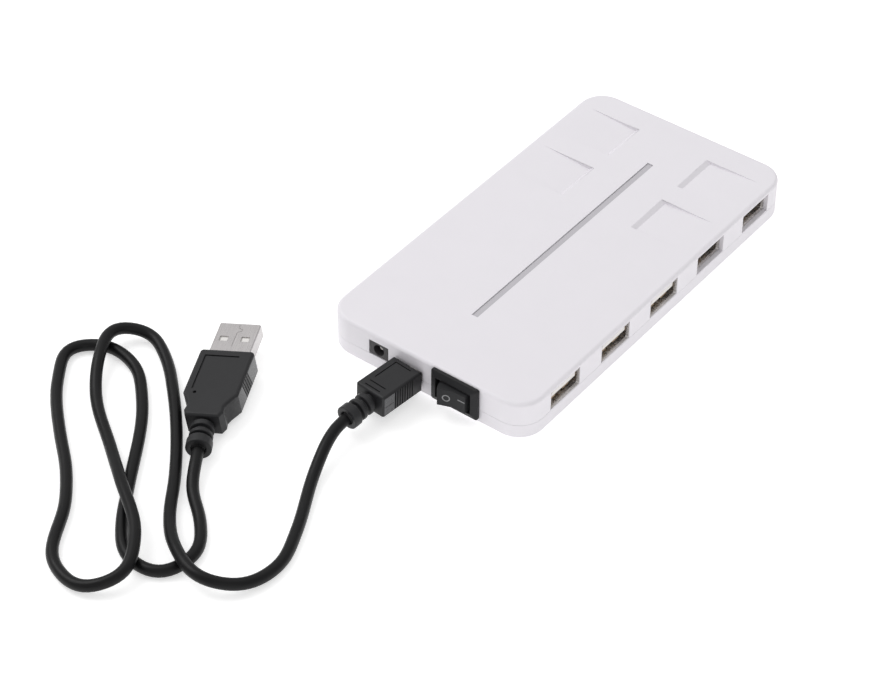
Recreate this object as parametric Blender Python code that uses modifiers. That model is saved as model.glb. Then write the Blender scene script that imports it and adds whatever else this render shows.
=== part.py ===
"""A slim desktop USB hub: a two-part case with ten USB-A sockets, a power jack, a rocker switch
and a mini-B socket, and the cable that plugs into it.

The case stands on the XY plane. Its long side runs along Y, the switch end faces -Y, and the
origin is under the middle of the hub. All sizes are in metres.
"""

import math

import bmesh
import bpy
from mathutils import Matrix, Vector

MM = 0.001

# Case
CASE_WIDTH = 68.5 * MM
CASE_LENGTH = 130.2 * MM
CASE_BOTTOM = 0.8 * MM
CASE_TOP = 13.3 * MM
SEAM = 5.6 * MM
SEAM_GAP = 0.2 * MM
CORNER_RADIUS = 8.0 * MM
TOP_FILLET = 1.2 * MM
BOTTOM_FILLET = 1.0 * MM
WALL = 1.8 * MM
FLOOR_TOP = 2.4 * MM
CEILING = 12.15 * MM
GAP = 0.3 * MM
OVERLAP = 0.1 * MM
THROUGH = 1.0 * MM

# Rocker switch, measured outwards (towards -Y) from the front wall
SWITCH_X = 11.2 * MM
SWITCH_Z = 7.65 * MM
BEZEL_WIDTH = 15.6 * MM
BEZEL_HEIGHT = 10.6 * MM
BEZEL_EDGE = 1.1 * MM
BEZEL_RISE = 0.7 * MM
BEZEL_BORDER = 1.95 * MM
BEZEL_RIM = 0.4 * MM
BEZEL_CORNER = 0.6 * MM
SWITCH_BODY_WIDTH = 13.0 * MM
SWITCH_BODY_HEIGHT = 8.6 * MM
SWITCH_BODY_DEPTH = 12.5 * MM
SWITCH_CAVITY_DEPTH = 9.0 * MM
ROCKER_HEIGHT = 6.1 * MM
ROCKER_RADIUS = 6.1 * MM
ROCKER_PIVOT_DEPTH = 2.5 * MM
ROCKER_FACE = 3.7 * MM
ROCKER_TIP_ANGLE = math.radians(43.7)
ROCKER_END = (4.65 * MM, -2.6 * MM)
ROCKER_TILT = math.radians(11.0)
ARM_TILT = math.radians(8.0)
ARM_DEPTH = 5.6 * MM
TERMINAL_LENGTH = 10.6 * MM
TERMINALS = ((-4.0 * MM, 6.7 * MM), (0.0, 6.1 * MM))
PIVOT_RADIUS = 0.75 * MM
PIVOT_REACH = 0.6 * MM
PIVOT_HOLE_RADIUS = 1.05 * MM
PIVOT_HOLE_REACH = 0.7 * MM
BLADE_WIDTH = 3.0 * MM
ARM_LENGTH = 8.8 * MM
ARM_THICKNESS = 0.4 * MM
TERMINAL_THICKNESS = 0.5 * MM
TERMINAL_SLOT = (1.1 * MM, 3.6 * MM)
BLADE_EDGE = 0.1 * MM
WIRE_RADIUS = 0.5 * MM
WIRE_STEP = 1.2 * MM

# The raised end of the rocker is the foremost point of the hub, and the origin is halfway
# between it and the back of the case.
ROCKER_REACH = (
    BEZEL_EDGE + BEZEL_RISE - ROCKER_PIVOT_DEPTH
    + ROCKER_RADIUS * math.cos(ROCKER_TIP_ANGLE - ROCKER_TILT)
)
CASE_Y = ROCKER_REACH / 2
FRONT = CASE_Y - CASE_LENGTH / 2
BACK = CASE_Y + CASE_LENGTH / 2
SIDE = CASE_WIDTH / 2

# USB-A sockets, five along each long side
PORTS_PER_SIDE = 5
PORT_PITCH = 23.65 * MM
PORT_SHIFT = 0.3 * MM
PORT_Z = 9.0 * MM
SHELL_WIDTH = 13.1 * MM
SHELL_HEIGHT = 5.7 * MM
SHELL_DEPTH = 13.0 * MM
SHELL_WALL = 0.3 * MM
SHELL_RADIUS = 0.6 * MM
SHELL_FLUSH = 0.1 * MM
SHELL_SUNK = 1.3 * MM
SUNK_PORTS = (4, 5)
WINDOW_CLEARANCE = 0.15 * MM
TONGUE_WIDTH = 11.1 * MM
TONGUE_INSET = 0.75 * MM
TONGUE_LOW = 0.2 * MM
TONGUE_HIGH = 2.04 * MM

# Finger ramps in the roof over ports 4 and 5
RAMP_WIDTH = 15.8 * MM
RAMP_WALL_X = 12.0 * MM
RAMP_DEEP_X = 13.3 * MM
RAMP_END_X = 30.0 * MM
RAMP_DEPTH = 0.95 * MM
PAD_X = (10.5 * MM, 19.4 * MM)
PAD_Y = (14.5 * MM, 57.5 * MM)
PAD_LOW = 11.4 * MM

# Light bar along the middle of the roof
BAR_WIDTH = 2.0 * MM
BAR_LENGTH = 86.0 * MM
BAR_Y = CASE_Y + 0.8 * MM
BAR_TOP = CASE_TOP - 0.3 * MM
BAR_CLEARANCE = 0.1 * MM
BAR_FLANGE_WIDTH = 5.0 * MM
BAR_FLANGE_HEIGHT = 0.9 * MM

# Power jack
JACK_X = -15.55 * MM
JACK_WIDTH = 6.4 * MM
JACK_Z = (5.75 * MM, 10.4 * MM)
JACK_DEPTH = 11.0 * MM
JACK_HOLE_RADIUS = 1.75 * MM
JACK_HOLE_DEPTH = 8.5 * MM
JACK_PIN_RADIUS = 0.65 * MM
JACK_PIN_START = 1.2 * MM

# Mini-B socket
MINI_X = -4.35 * MM
MINI_Z = 6.3 * MM
MINI_WIDTH = 7.6 * MM
MINI_HEIGHT = 3.9 * MM
MINI_DEPTH = 8.6 * MM
MINI_INSET = 0.3 * MM

# Circuit board
BOARD_Z = (3.7 * MM, 5.3 * MM)
BOARD_HALF_WIDTH = 30.5 * MM
BOARD_HALF_LENGTH = 62.6 * MM

BOARD_NOTCH = (4.6 * MM, 8.0 * MM)
POST_RADIUS = 2.0 * MM
POST_X = 12.0 * MM
POST_Y = 30.0 * MM
CHIP_SIZE = 7.0 * MM
CHIP_HEIGHT = 1.2 * MM
CHIP_PLACES_MM = ((-9, -27), (-9, 3), (-9, 33))
CRYSTAL_SIZE = (11.0 * MM, 4.4 * MM, 3.4 * MM)
CRYSTAL_PLACE_MM = (9.5, -27)
CAPACITOR_RADIUS = 3.1 * MM
CAPACITOR_HEIGHT = 5.2 * MM
CAPACITOR_PLACES_MM = ((-10, -39), (10, 12))
LED_SIZE = (1.6 * MM, 3.0 * MM, 1.1 * MM)
LED_PLACES_MM = ((0, -30), (0, 0.8), (0, 31.6))
PACKAGE_EDGE = 0.2 * MM

# Screws and feet
SCREW_X = 27.0 * MM
SCREW_Y = 58.5 * MM
SCREW_HEAD_RADIUS = 2.6 * MM
SCREW_HEAD_Z = (1.0 * MM, 2.4 * MM)
SCREW_SHANK_RADIUS = 1.15 * MM
SCREW_POINT_RADIUS = 0.6 * MM
SCREW_SHANK_TOP = 9.2 * MM
SCREW_CROSS = (3.0 * MM, 0.6 * MM)
SCREW_CROSS_TOP = 1.8 * MM
SCREW_HOLE_RADIUS = 1.5 * MM
SCREW_HOLE_TOP = 9.8 * MM
SCREW_RECESS_RADIUS = 3.0 * MM
SCREW_RECESS_TOP = 2.7 * MM
PILLAR_RADIUS = 3.2 * MM
BOSS_RADIUS = 4.2 * MM
BOSS_TOP = 4.6 * MM
FOOT_X = 25.0 * MM
FOOT_Y = 46.0 * MM
FOOT_RADIUS = 4.5 * MM
FOOT_HEIGHT = 1.1 * MM
FOOT_RECESS_DEPTH = 0.6 * MM
FOOT_EDGE = 0.25 * MM

# The mini-B plug sits a few degrees askew in its socket, as a plug held by a stiff cable does.
MINI_PLUG_YAW = math.radians(-4.5)
MINI_PLUG_PITCH = math.radians(-2.0)
MINI_PIVOT_DEPTH = 3.0 * MM
MINI_PLUG_GAP = 1.0 * MM
MINI_BODY_WIDTH = 10.2 * MM
MINI_BODY_HEIGHT = 7.1 * MM
MINI_BODY_LENGTH = 15.2 * MM
MINI_RELIEF_LENGTH = 8.9 * MM
MINI_RELIEF_RADIUS = 3.2 * MM
MINI_RELIEF_DROOP = math.radians(5.0)
MINI_BODY_EDGE = 0.7 * MM
MINI_BODY_CHAMFER = 0.5 * MM
MINI_TIP_OUTER = (6.2 * MM, 2.6 * MM)
MINI_TIP_INNER = (5.6 * MM, 2.0 * MM)
MINI_TIP_LENGTH = 6.2 * MM

# USB-A plug, lying on the table
PLUG_FACE = Vector((-47.85 * MM, -87.75 * MM, 4.91 * MM))
PLUG_HEADING = math.radians(24.9)
PLUG_ROLL = math.radians(7.0)
PLUG_PITCH = math.radians(1.5)
PLUG_RELIEF_BEND = math.radians(8.0)
PLUG_SHELL_WIDTH = 12.0 * MM
PLUG_SHELL_HEIGHT = 4.5 * MM
PLUG_SHELL_LENGTH = 12.1 * MM
PLUG_WINDOW_X = 3.1 * MM
PLUG_WINDOW_Y = (4.9 * MM, 6.9 * MM)
PLUG_WINDOW_WIDTH = 2.4 * MM
PLUG_BODY_WIDTH = 15.6 * MM
PLUG_BODY_HEIGHT = 7.3 * MM
PLUG_BODY_LENGTH = 26.0 * MM
PLUG_FRONT_RADIUS = 1.5 * MM
PLUG_WAIST = 5.3 * MM
PLUG_COLLAR = 5.6 * MM
PLUG_RELIEF_LENGTH = 9.5 * MM
PLUG_RELIEF_RADIUS = 3.3 * MM
PLUG_BODY_EDGE = 0.9 * MM
PLUG_INSULATOR_END = 11.4 * MM

# Cable, from the mini-B plug to the USB-A plug
CORD_RADIUS = 1.7 * MM
RELIEF_FLARE = 0.3 * MM
RELIEF_GROOVE = 0.6 * MM
RELIEF_RINGS = 3
RELIEF_RING_SHARE = 0.24
RELIEF_CUT_SHARE = 0.1
RELIEF_ROOT = 1.5 * MM
CORD_STEP = 7.6 * MM
CORD_FINE_STEP = 1.5 * MM
CORD_PASSES = 6
CORD_LEAD = 3.0 * MM
CORD_ROUTE_MM = [
    (-6, -96, 5.6), (-3, -105.5, 2.9), (7, -125.5, 1.75), (11, -136.5, 1.8),
    (8.5, -148.5, 2.8), (0, -154.5, 5), (-12.5, -150, 4.8), (-22.5, -141, 2.4),
    (-31, -129.5, 1.75), (-54.5, -104, 1.75), (-64, -96, 1.8), (-74.5, -91.5, 2.9),
    (-81.5, -97.5, 5), (-77, -109, 4.7), (-71, -117, 2.6), (-52, -131.5, 2.5),
    (-40, -140.5, 4.8), (-22, -154.5, 5.2), (-16.5, -165, 4.5), (-23, -173.5, 2.5),
    (-34.5, -171.5, 1.75), (-48, -153, 1.75), (-57.5, -143, 1.75), (-65.5, -136.5, 1.75),
    (-83, -119, 1.75), (-88.5, -109, 1.75), (-81.5, -102, 1.75), (-68.5, -103.5, 1.75),
    (-59.5, -111, 1.75), (-38, -140, 1.75), (-31, -150, 1.75), (-22, -158, 1.75),
    (-11.5, -157.5, 1.75), (-8.5, -146.5, 1.75), (-15.5, -137, 1.8), (-24.5, -130, 2.5),
]


def new_collection(name, hidden=False):
    collection = bpy.data.collections.new(name)
    bpy.context.scene.collection.children.link(collection)
    collection.hide_render = hidden
    return collection


def material(name, color, roughness, metallic=0.0):
    made = bpy.data.materials.new(name)
    made.use_nodes = True
    shader = made.node_tree.nodes["Principled BSDF"]
    shader.inputs["Base Color"].default_value = (*color, 1.0)
    shader.inputs["Roughness"].default_value = roughness
    shader.inputs["Metallic"].default_value = metallic
    return made


def smooth(obj, angle=30):
    obj.data.shade_smooth()
    obj.data.set_sharp_from_angle(angle=math.radians(angle))


def add_part(name, bm, finish, location=(0, 0, 0)):
    """Makes a bmesh into one of the hub's pieces."""
    mesh = bpy.data.meshes.new(name)
    bmesh.ops.recalc_face_normals(bm, faces=bm.faces)
    bm.to_mesh(mesh)
    bm.free()
    obj = bpy.data.objects.new(name, mesh)
    obj.location = location
    PARTS.objects.link(obj)
    mesh.materials.append(finish)
    smooth(obj)
    return obj


def add_cutter(name, bm, location=(0, 0, 0)):
    """Makes a bmesh into a helper that only Boolean modifiers use."""
    mesh = bpy.data.meshes.new(name)
    bmesh.ops.recalc_face_normals(bm, faces=bm.faces)
    bm.to_mesh(mesh)
    bm.free()
    obj = bpy.data.objects.new(name, mesh)
    obj.location = location
    obj.hide_render = True
    obj.display_type = "WIRE"
    CUTTERS.objects.link(obj)
    return obj


def boolean(obj, helper, operation="DIFFERENCE"):
    modifier = obj.modifiers.new(helper.name, "BOOLEAN")
    modifier.operation = operation
    modifier.object = helper
    modifier.solver = "EXACT"


def box(bm, low, high):
    """Adds an axis-aligned box between two corners."""
    low = Vector(low)
    high = Vector(high)
    verts = bmesh.ops.create_cube(bm, size=1.0)["verts"]
    bmesh.ops.scale(bm, vec=high - low, verts=verts)
    bmesh.ops.translate(bm, vec=(low + high) / 2, verts=verts)
    return verts


def cylinder(bm, radius, low, high, x=0.0, y=0.0, segments=24, top_radius=None):
    """Adds an upright cylinder or cone between two heights."""
    verts = bmesh.ops.create_cone(
        bm, cap_ends=True, segments=segments, radius1=radius,
        radius2=radius if top_radius is None else top_radius, depth=high - low,
    )["verts"]
    bmesh.ops.translate(bm, vec=(x, y, (low + high) / 2), verts=verts)
    return verts


def bevel_edges(bm, chosen, width, segments):
    edges = [edge for edge in bm.edges if chosen(edge)]
    bmesh.ops.bevel(
        bm, geom=edges, offset=width, offset_type="OFFSET", segments=segments,
        profile=0.5, affect="EDGES", clamp_overlap=True,
    )


def along(axis):
    """A test for the edges that run along one axis."""
    def test(edge):
        run = edge.verts[1].co - edge.verts[0].co
        return abs(run[axis]) > 0.99 * run.length
    return test


def at_height(height):
    """A test for the edges that lie at one height."""
    return lambda edge: all(abs(vert.co.z - height) < 1e-6 for vert in edge.verts)


def block(low, high, radius=0.0, axis=None, segments=2):
    """A box whose edges, all of them or those along one axis, are rounded."""
    bm = bmesh.new()
    box(bm, low, high)
    if radius:
        bevel_edges(bm, along(axis) if axis is not None else lambda edge: True, radius, segments)
    return bm


def rounded_slab(half_x, half_y, low, high, radius, segments=8):
    """A slab with round corners in plan, centred on the case."""
    bm = bmesh.new()
    box(bm, (-half_x, -half_y, low), (half_x, half_y, high))
    bevel_edges(bm, along(2), radius, segments)
    return bm


def prism(outline, low, high):
    """An outline in the XY plane, extruded from one height to another."""
    bm = bmesh.new()
    verts = [bm.verts.new((x, y, low)) for x, y in outline]
    face = bm.faces.new(verts)
    made = bmesh.ops.extrude_face_region(bm, geom=[face])["geom"]
    moved = [item for item in made if isinstance(item, bmesh.types.BMVert)]
    bmesh.ops.translate(bm, vec=(0, 0, high - low), verts=moved)
    return bm


def rounded_rectangle(width, height, radius, segments=4):
    """The outline of a rectangle with round corners, centred on the origin."""
    outline = []
    for corner, (sign_x, sign_y) in enumerate(((1, 1), (-1, 1), (-1, -1), (1, -1))):
        middle_x = sign_x * (width / 2 - radius)
        middle_y = sign_y * (height / 2 - radius)
        for step in range(segments + 1):
            angle = math.radians(90 * (corner + step / segments))
            outline.append(
                (middle_x + radius * math.cos(angle), middle_y + radius * math.sin(angle))
            )
    return outline


def loft(layers):
    """A closed solid through outlines of equal length, each at its own height, bottom first."""
    bm = bmesh.new()
    loops = [[bm.verts.new((x, y, height)) for x, y in outline] for outline, height in layers]
    for low, high in zip(loops, loops[1:]):
        for i in range(len(low)):
            j = (i + 1) % len(low)
            bm.faces.new((low[i], low[j], high[j], high[i]))
    bm.faces.new(list(reversed(loops[0])))
    bm.faces.new(loops[-1])
    return bm


def turned(name, profile, steps=20):
    """A solid turned about Z. The profile is (radius, height) from the top down."""
    mesh = bpy.data.meshes.new(name)
    mesh.from_pydata(
        [(radius, 0, height) for radius, height in profile],
        [(i, i + 1) for i in range(len(profile) - 1)], [],
    )
    obj = bpy.data.objects.new(name, mesh)
    obj.hide_render = True
    obj.display_type = "WIRE"
    CUTTERS.objects.link(obj)
    screw = obj.modifiers.new("turn", "SCREW")
    screw.steps = steps
    screw.render_steps = steps
    screw.use_merge_vertices = True
    screw.merge_threshold = 0.00001
    return obj


def empty(name, location, rotation):
    obj = bpy.data.objects.new(name, None)
    obj.location = location
    obj.rotation_euler = rotation
    obj.empty_display_size = 5 * MM
    PARTS.objects.link(obj)
    return obj


# ---- Case ----

def port_places():
    """(side, number, location of the socket mouth, turn about Z) of each USB-A socket."""
    for side, sign in (("right", 1), ("left", -1)):
        for number in range(1, PORTS_PER_SIDE + 1):
            y = CASE_Y + PORT_SHIFT + (number - 3) * PORT_PITCH
            inset = SHELL_SUNK if number in SUNK_PORTS else SHELL_FLUSH
            place = Vector((sign * (SIDE - inset), y, PORT_Z))
            yield side, number, place, 0.0 if sign > 0 else math.pi


def four_places(x, y):
    """The four places that mirror each other about the middle of the case."""
    return [(sign_x * x, CASE_Y + sign_y * y) for sign_x in (-1, 1) for sign_y in (-1, 1)]


def socket_windows():
    """The holes in the side walls for the USB-A sockets."""
    bm = bmesh.new()
    half_width = SHELL_WIDTH / 2 + WINDOW_CLEARANCE
    half_height = SHELL_HEIGHT / 2 + WINDOW_CLEARANCE
    for _, _, place, _ in port_places():
        sign = math.copysign(1, place.x)
        near, far = sorted((sign * (SIDE - WALL - 2 * MM), sign * (SIDE + 2 * MM)))
        box(
            bm, (near, place.y - half_width, PORT_Z - half_height),
            (far, place.y + half_width, PORT_Z + half_height),
        )
    return add_cutter("socket_windows", bm)


def front_windows():
    """The holes in the front wall for the mini-B socket and the switch, which cross the seam."""
    bm = bmesh.new()
    for x, z, width, height in (
        (MINI_X, MINI_Z, MINI_WIDTH, MINI_HEIGHT),
        (SWITCH_X, SWITCH_Z, SWITCH_BODY_WIDTH, SWITCH_BODY_HEIGHT),
    ):
        half_width = width / 2 + WINDOW_CLEARANCE
        half_height = height / 2 + WINDOW_CLEARANCE
        box(
            bm, (x - half_width, FRONT - 2 * MM, z - half_height),
            (x + half_width, FRONT + WALL + MM, z + half_height),
        )
    return add_cutter("front_windows", bm)


def jack_window():
    bm = bmesh.new()
    half_width = JACK_WIDTH / 2 + WINDOW_CLEARANCE
    box(
        bm, (JACK_X - half_width, FRONT - 2 * MM, SEAM - MM),
        (JACK_X + half_width, FRONT + WALL + MM, JACK_Z[1] + WINDOW_CLEARANCE),
    )
    return add_cutter("jack_window", bm)


def finger_ramps():
    """Four shallow ramps, deepest beside the light bar and running out towards the sides."""
    objects = []
    rise = RAMP_DEPTH / (RAMP_END_X - RAMP_DEEP_X)
    over = 3 * MM
    profile = [
        (RAMP_WALL_X, 0.0),
        (RAMP_DEEP_X, -RAMP_DEPTH),
        (RAMP_END_X + over, rise * over),
        (RAMP_END_X + over, 2 * MM),
        (RAMP_WALL_X, 2 * MM),
    ]
    for side, number, place, _ in port_places():
        if number not in SUNK_PORTS:
            continue
        sign = math.copysign(1, place.x)
        bm = prism([(sign * x, z) for x, z in profile], -RAMP_WIDTH / 2, RAMP_WIDTH / 2)
        bmesh.ops.rotate(bm, verts=bm.verts, matrix=Matrix.Rotation(math.radians(90), 3, "X"))
        objects.append(add_cutter(f"ramp_{side}_{number}", bm, (0, place.y, CASE_TOP)))
    return objects


def make_top_cover():
    half_x = SIDE
    half_y = CASE_LENGTH / 2
    bm = rounded_slab(half_x, half_y, SEAM + SEAM_GAP / 2, CASE_TOP, CORNER_RADIUS)
    bevel_edges(bm, at_height(CASE_TOP), TOP_FILLET, 4)
    cover = add_part("top_cover", bm, WHITE, (0, CASE_Y, 0))
    bm = rounded_slab(half_x - WALL, half_y - WALL, 0.0, CEILING, CORNER_RADIUS - WALL, 6)
    boolean(cover, add_cutter("top_cavity", bm, (0, CASE_Y, 0)))
    bm = bmesh.new()
    for x, y in four_places(SCREW_X, SCREW_Y):
        cylinder(bm, PILLAR_RADIUS, BOARD_Z[1] - GAP, CEILING + OVERLAP, x, y, segments=16)
    for sign in (-1, 1):
        near, far = sorted((sign * PAD_X[0], sign * PAD_X[1]))
        box(
            bm, (near, CASE_Y + PAD_Y[0], PAD_LOW),
            (far, CASE_Y + PAD_Y[1], CEILING + OVERLAP),
        )
    boolean(cover, add_cutter("top_pillars", bm), "UNION")
    bm = bmesh.new()
    for x, y in four_places(SCREW_X, SCREW_Y):
        cylinder(bm, SCREW_HOLE_RADIUS, 0.0, SCREW_HOLE_TOP, x, y, segments=12)
    half_bar = BAR_WIDTH / 2
    box(
        bm, (-half_bar, BAR_Y - BAR_LENGTH / 2, CEILING - THROUGH),
        (half_bar, BAR_Y + BAR_LENGTH / 2, CASE_TOP + THROUGH),
    )
    boolean(cover, add_cutter("top_holes", bm))
    boolean(cover, SOCKET_WINDOWS)
    boolean(cover, FRONT_WINDOWS)
    boolean(cover, jack_window())
    for ramp in finger_ramps():
        boolean(cover, ramp)


def make_bottom_cover():
    half_x = SIDE
    half_y = CASE_LENGTH / 2
    bm = rounded_slab(half_x, half_y, CASE_BOTTOM, SEAM - SEAM_GAP / 2, CORNER_RADIUS)
    bevel_edges(bm, at_height(CASE_BOTTOM), BOTTOM_FILLET, 3)
    cover = add_part("bottom_cover", bm, WHITE, (0, CASE_Y, 0))
    bm = rounded_slab(half_x - WALL, half_y - WALL, FLOOR_TOP, 10 * MM, CORNER_RADIUS - WALL, 6)
    boolean(cover, add_cutter("bottom_cavity", bm, (0, CASE_Y, 0)))
    bm = bmesh.new()
    for x, y in four_places(SCREW_X, SCREW_Y):
        cylinder(bm, BOSS_RADIUS, FLOOR_TOP - OVERLAP, BOSS_TOP, x, y, segments=16)
    for x, y in four_places(POST_X, POST_Y):
        cylinder(bm, POST_RADIUS, FLOOR_TOP - OVERLAP, BOARD_Z[0] - GAP, x, y, segments=12)
    boolean(cover, add_cutter("board_posts", bm), "UNION")
    bm = bmesh.new()
    for x, y in four_places(SCREW_X, SCREW_Y):
        cylinder(bm, SCREW_RECESS_RADIUS, 0.0, SCREW_RECESS_TOP, x, y, segments=20)
    for x, y in four_places(FOOT_X, FOOT_Y):
        cylinder(bm, FOOT_RADIUS + GAP, 0.0, CASE_BOTTOM + FOOT_RECESS_DEPTH, x, y, segments=28)
    boolean(cover, add_cutter("bottom_recesses", bm))
    bm = bmesh.new()
    for x, y in four_places(SCREW_X, SCREW_Y):
        cylinder(bm, SCREW_HOLE_RADIUS, 0.0, BOSS_TOP + THROUGH, x, y, segments=12)
    boolean(cover, add_cutter("bottom_screw_holes", bm))
    boolean(cover, FRONT_WINDOWS)


def make_light_bar():
    """A T-shaped light pipe: the rib fills the slot in the roof and the flange stays under it."""
    half_rib = BAR_WIDTH / 2 - BAR_CLEARANCE
    half_flange = BAR_FLANGE_WIDTH / 2
    flange_top = CEILING - GAP
    flange_low = flange_top - BAR_FLANGE_HEIGHT
    outline = [
        (-half_flange, flange_low), (half_flange, flange_low), (half_flange, flange_top),
        (half_rib, flange_top), (half_rib, BAR_TOP), (-half_rib, BAR_TOP),
        (-half_rib, flange_top), (-half_flange, flange_top),
    ]
    half_length = BAR_LENGTH / 2 - BAR_CLEARANCE
    bm = prism(outline, -half_length, half_length)
    bmesh.ops.rotate(bm, verts=bm.verts, matrix=Matrix.Rotation(math.radians(90), 3, "X"))
    add_part("light_bar", bm, LIGHT_PIPE, (0, BAR_Y, 0))


def make_feet():
    for number, (x, y) in enumerate(four_places(FOOT_X, FOOT_Y), 1):
        bm = bmesh.new()
        cylinder(bm, FOOT_RADIUS, 0.0, FOOT_HEIGHT, segments=28)
        bevel_edges(bm, at_height(0.0), FOOT_EDGE, 2)
        add_part(f"foot_{number}", bm, RUBBER, (x, y, 0))


def make_screws():
    """Self-tapping screws from below, each with a cross recess."""
    for number, (x, y) in enumerate(four_places(SCREW_X, SCREW_Y), 1):
        bm = bmesh.new()
        cylinder(bm, SCREW_HEAD_RADIUS, SCREW_HEAD_Z[0], SCREW_HEAD_Z[1], segments=20)
        screw = add_part(f"case_screw_{number}", bm, STEEL, (x, y, 0))
        bm = bmesh.new()
        cylinder(
            bm, SCREW_SHANK_RADIUS, SCREW_HEAD_Z[1] - OVERLAP, SCREW_SHANK_TOP, segments=12,
            top_radius=SCREW_POINT_RADIUS,
        )
        boolean(screw, add_cutter(f"screw_shank_{number}", bm, (x, y, 0)), "UNION")
        for kind, (length, width) in (("slot", SCREW_CROSS), ("cross", SCREW_CROSS[::-1])):
            bm = bmesh.new()
            box(bm, (-length / 2, -width / 2, 0.0), (length / 2, width / 2, SCREW_CROSS_TOP))
            boolean(screw, add_cutter(f"screw_{kind}_{number}", bm, (x, y, 0)))


# ---- Circuit board ----

def make_board():
    low, high = BOARD_Z
    bm = bmesh.new()
    box(
        bm, (-BOARD_HALF_WIDTH, CASE_Y - BOARD_HALF_LENGTH, low),
        (BOARD_HALF_WIDTH, CASE_Y + BOARD_HALF_LENGTH, high),
    )
    board = add_part("circuit_board", bm, BOARD_GREEN)
    bm = bmesh.new()
    switch_half = SWITCH_BODY_WIDTH / 2 + 0.6 * MM
    box(
        bm, (SWITCH_X - switch_half, FRONT - MM, low - MM),
        (SWITCH_X + switch_half, FRONT + SWITCH_BODY_DEPTH + 6 * MM, high + MM),
    )
    mini_half = MINI_WIDTH / 2 + GAP
    box(
        bm, (MINI_X - mini_half, FRONT - MM, low - MM),
        (MINI_X + mini_half, FRONT + MINI_INSET + MINI_DEPTH + GAP, high + MM),
    )
    for x, y in four_places(SCREW_X, SCREW_Y):
        sign_x = math.copysign(1, x)
        sign_y = math.copysign(1, y - CASE_Y)
        inner_x, outer_x = sorted((x - sign_x * BOARD_NOTCH[0], x + sign_x * BOARD_NOTCH[1]))
        inner_y, outer_y = sorted((y - sign_y * BOARD_NOTCH[0], y + sign_y * BOARD_NOTCH[1]))
        box(bm, (inner_x, inner_y, low - MM), (outer_x, outer_y, high + MM))
    boolean(board, add_cutter("board_notches", bm))


def on_board(place_mm):
    x, y = place_mm
    return Vector((x * MM, CASE_Y + y * MM, BOARD_Z[1] + GAP))


def package(size, edge, axis=None, segments=1):
    """A component's body, centred on the origin and standing on it."""
    width, length, height = size
    return block((-width / 2, -length / 2, 0), (width / 2, length / 2, height), edge, axis, segments)


def make_chips():
    """One hub controller feeds the next, so ten ports need three of them."""
    for number, place in enumerate(CHIP_PLACES_MM, 1):
        bm = package((CHIP_SIZE, CHIP_SIZE, CHIP_HEIGHT), PACKAGE_EDGE)
        add_part(f"hub_chip_{number}", bm, CHIP_BLACK, on_board(place))


def make_small_components():
    bm = package(CRYSTAL_SIZE, CRYSTAL_SIZE[1] / 2 - OVERLAP, axis=2, segments=5)
    add_part("crystal", bm, STEEL, on_board(CRYSTAL_PLACE_MM))
    for number, place in enumerate(CAPACITOR_PLACES_MM, 1):
        bm = bmesh.new()
        cylinder(bm, CAPACITOR_RADIUS, 0, CAPACITOR_HEIGHT, segments=24)
        bevel_edges(bm, at_height(CAPACITOR_HEIGHT), 2 * PACKAGE_EDGE, 2)
        add_part(f"capacitor_{number}", bm, ALUMINIUM, on_board(place))
    for number, place in enumerate(LED_PLACES_MM, 1):
        add_part(f"indicator_led_{number}", package(LED_SIZE, PACKAGE_EDGE), LED_CLEAR, on_board(place))


# ---- Sockets ----

def make_usb_sockets():
    """Each socket is modelled with its mouth at the origin, facing +X."""
    half_width = SHELL_WIDTH / 2
    half_height = SHELL_HEIGHT / 2
    bm = block(
        (-SHELL_DEPTH, -half_width, -half_height), (0, half_width, half_height),
        SHELL_RADIUS, axis=0, segments=3,
    )
    shell = add_part("socket_shell_pattern", bm, STEEL)
    bm = block(
        (-SHELL_DEPTH + SHELL_WALL, -half_width + SHELL_WALL, -half_height + SHELL_WALL),
        (MM, half_width - SHELL_WALL, half_height - SHELL_WALL),
        SHELL_RADIUS - SHELL_WALL, axis=0, segments=2,
    )
    boolean(shell, add_cutter("socket_hollow", bm))
    shell_mesh = evaluated_mesh(shell)
    rear = -SHELL_DEPTH + SHELL_WALL + 0.1 * MM
    block_front = rear + 3.2 * MM
    inner = half_height - SHELL_WALL - 0.1 * MM
    outline = [
        (rear, -inner), (block_front, -inner), (block_front, TONGUE_LOW),
        (-TONGUE_INSET, TONGUE_LOW), (-TONGUE_INSET, TONGUE_HIGH), (block_front, TONGUE_HIGH),
        (block_front, inner), (rear, inner),
    ]
    bm = prism(outline, -TONGUE_WIDTH / 2, TONGUE_WIDTH / 2)
    bmesh.ops.rotate(bm, verts=bm.verts, matrix=Matrix.Rotation(math.radians(90), 3, "X"))
    tongue = add_part("socket_tongue_pattern", bm, TONGUE_WHITE)
    tongue_mesh = evaluated_mesh(tongue)
    for side, number, place, turn in port_places():
        for kind, mesh in (("shell", shell_mesh), ("tongue", tongue_mesh)):
            obj = bpy.data.objects.new(f"usb_socket_{kind}_{side}_{number}", mesh)
            obj.location = place
            obj.rotation_euler = (0, 0, turn)
            PARTS.objects.link(obj)


def evaluated_mesh(obj):
    """The mesh of a pattern with its modifiers applied. The pattern itself is removed."""
    bpy.context.view_layer.update()
    graph = bpy.context.evaluated_depsgraph_get()
    mesh = bpy.data.meshes.new_from_object(obj.evaluated_get(graph))
    mesh.name = obj.name
    bpy.data.objects.remove(obj)
    return mesh


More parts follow.
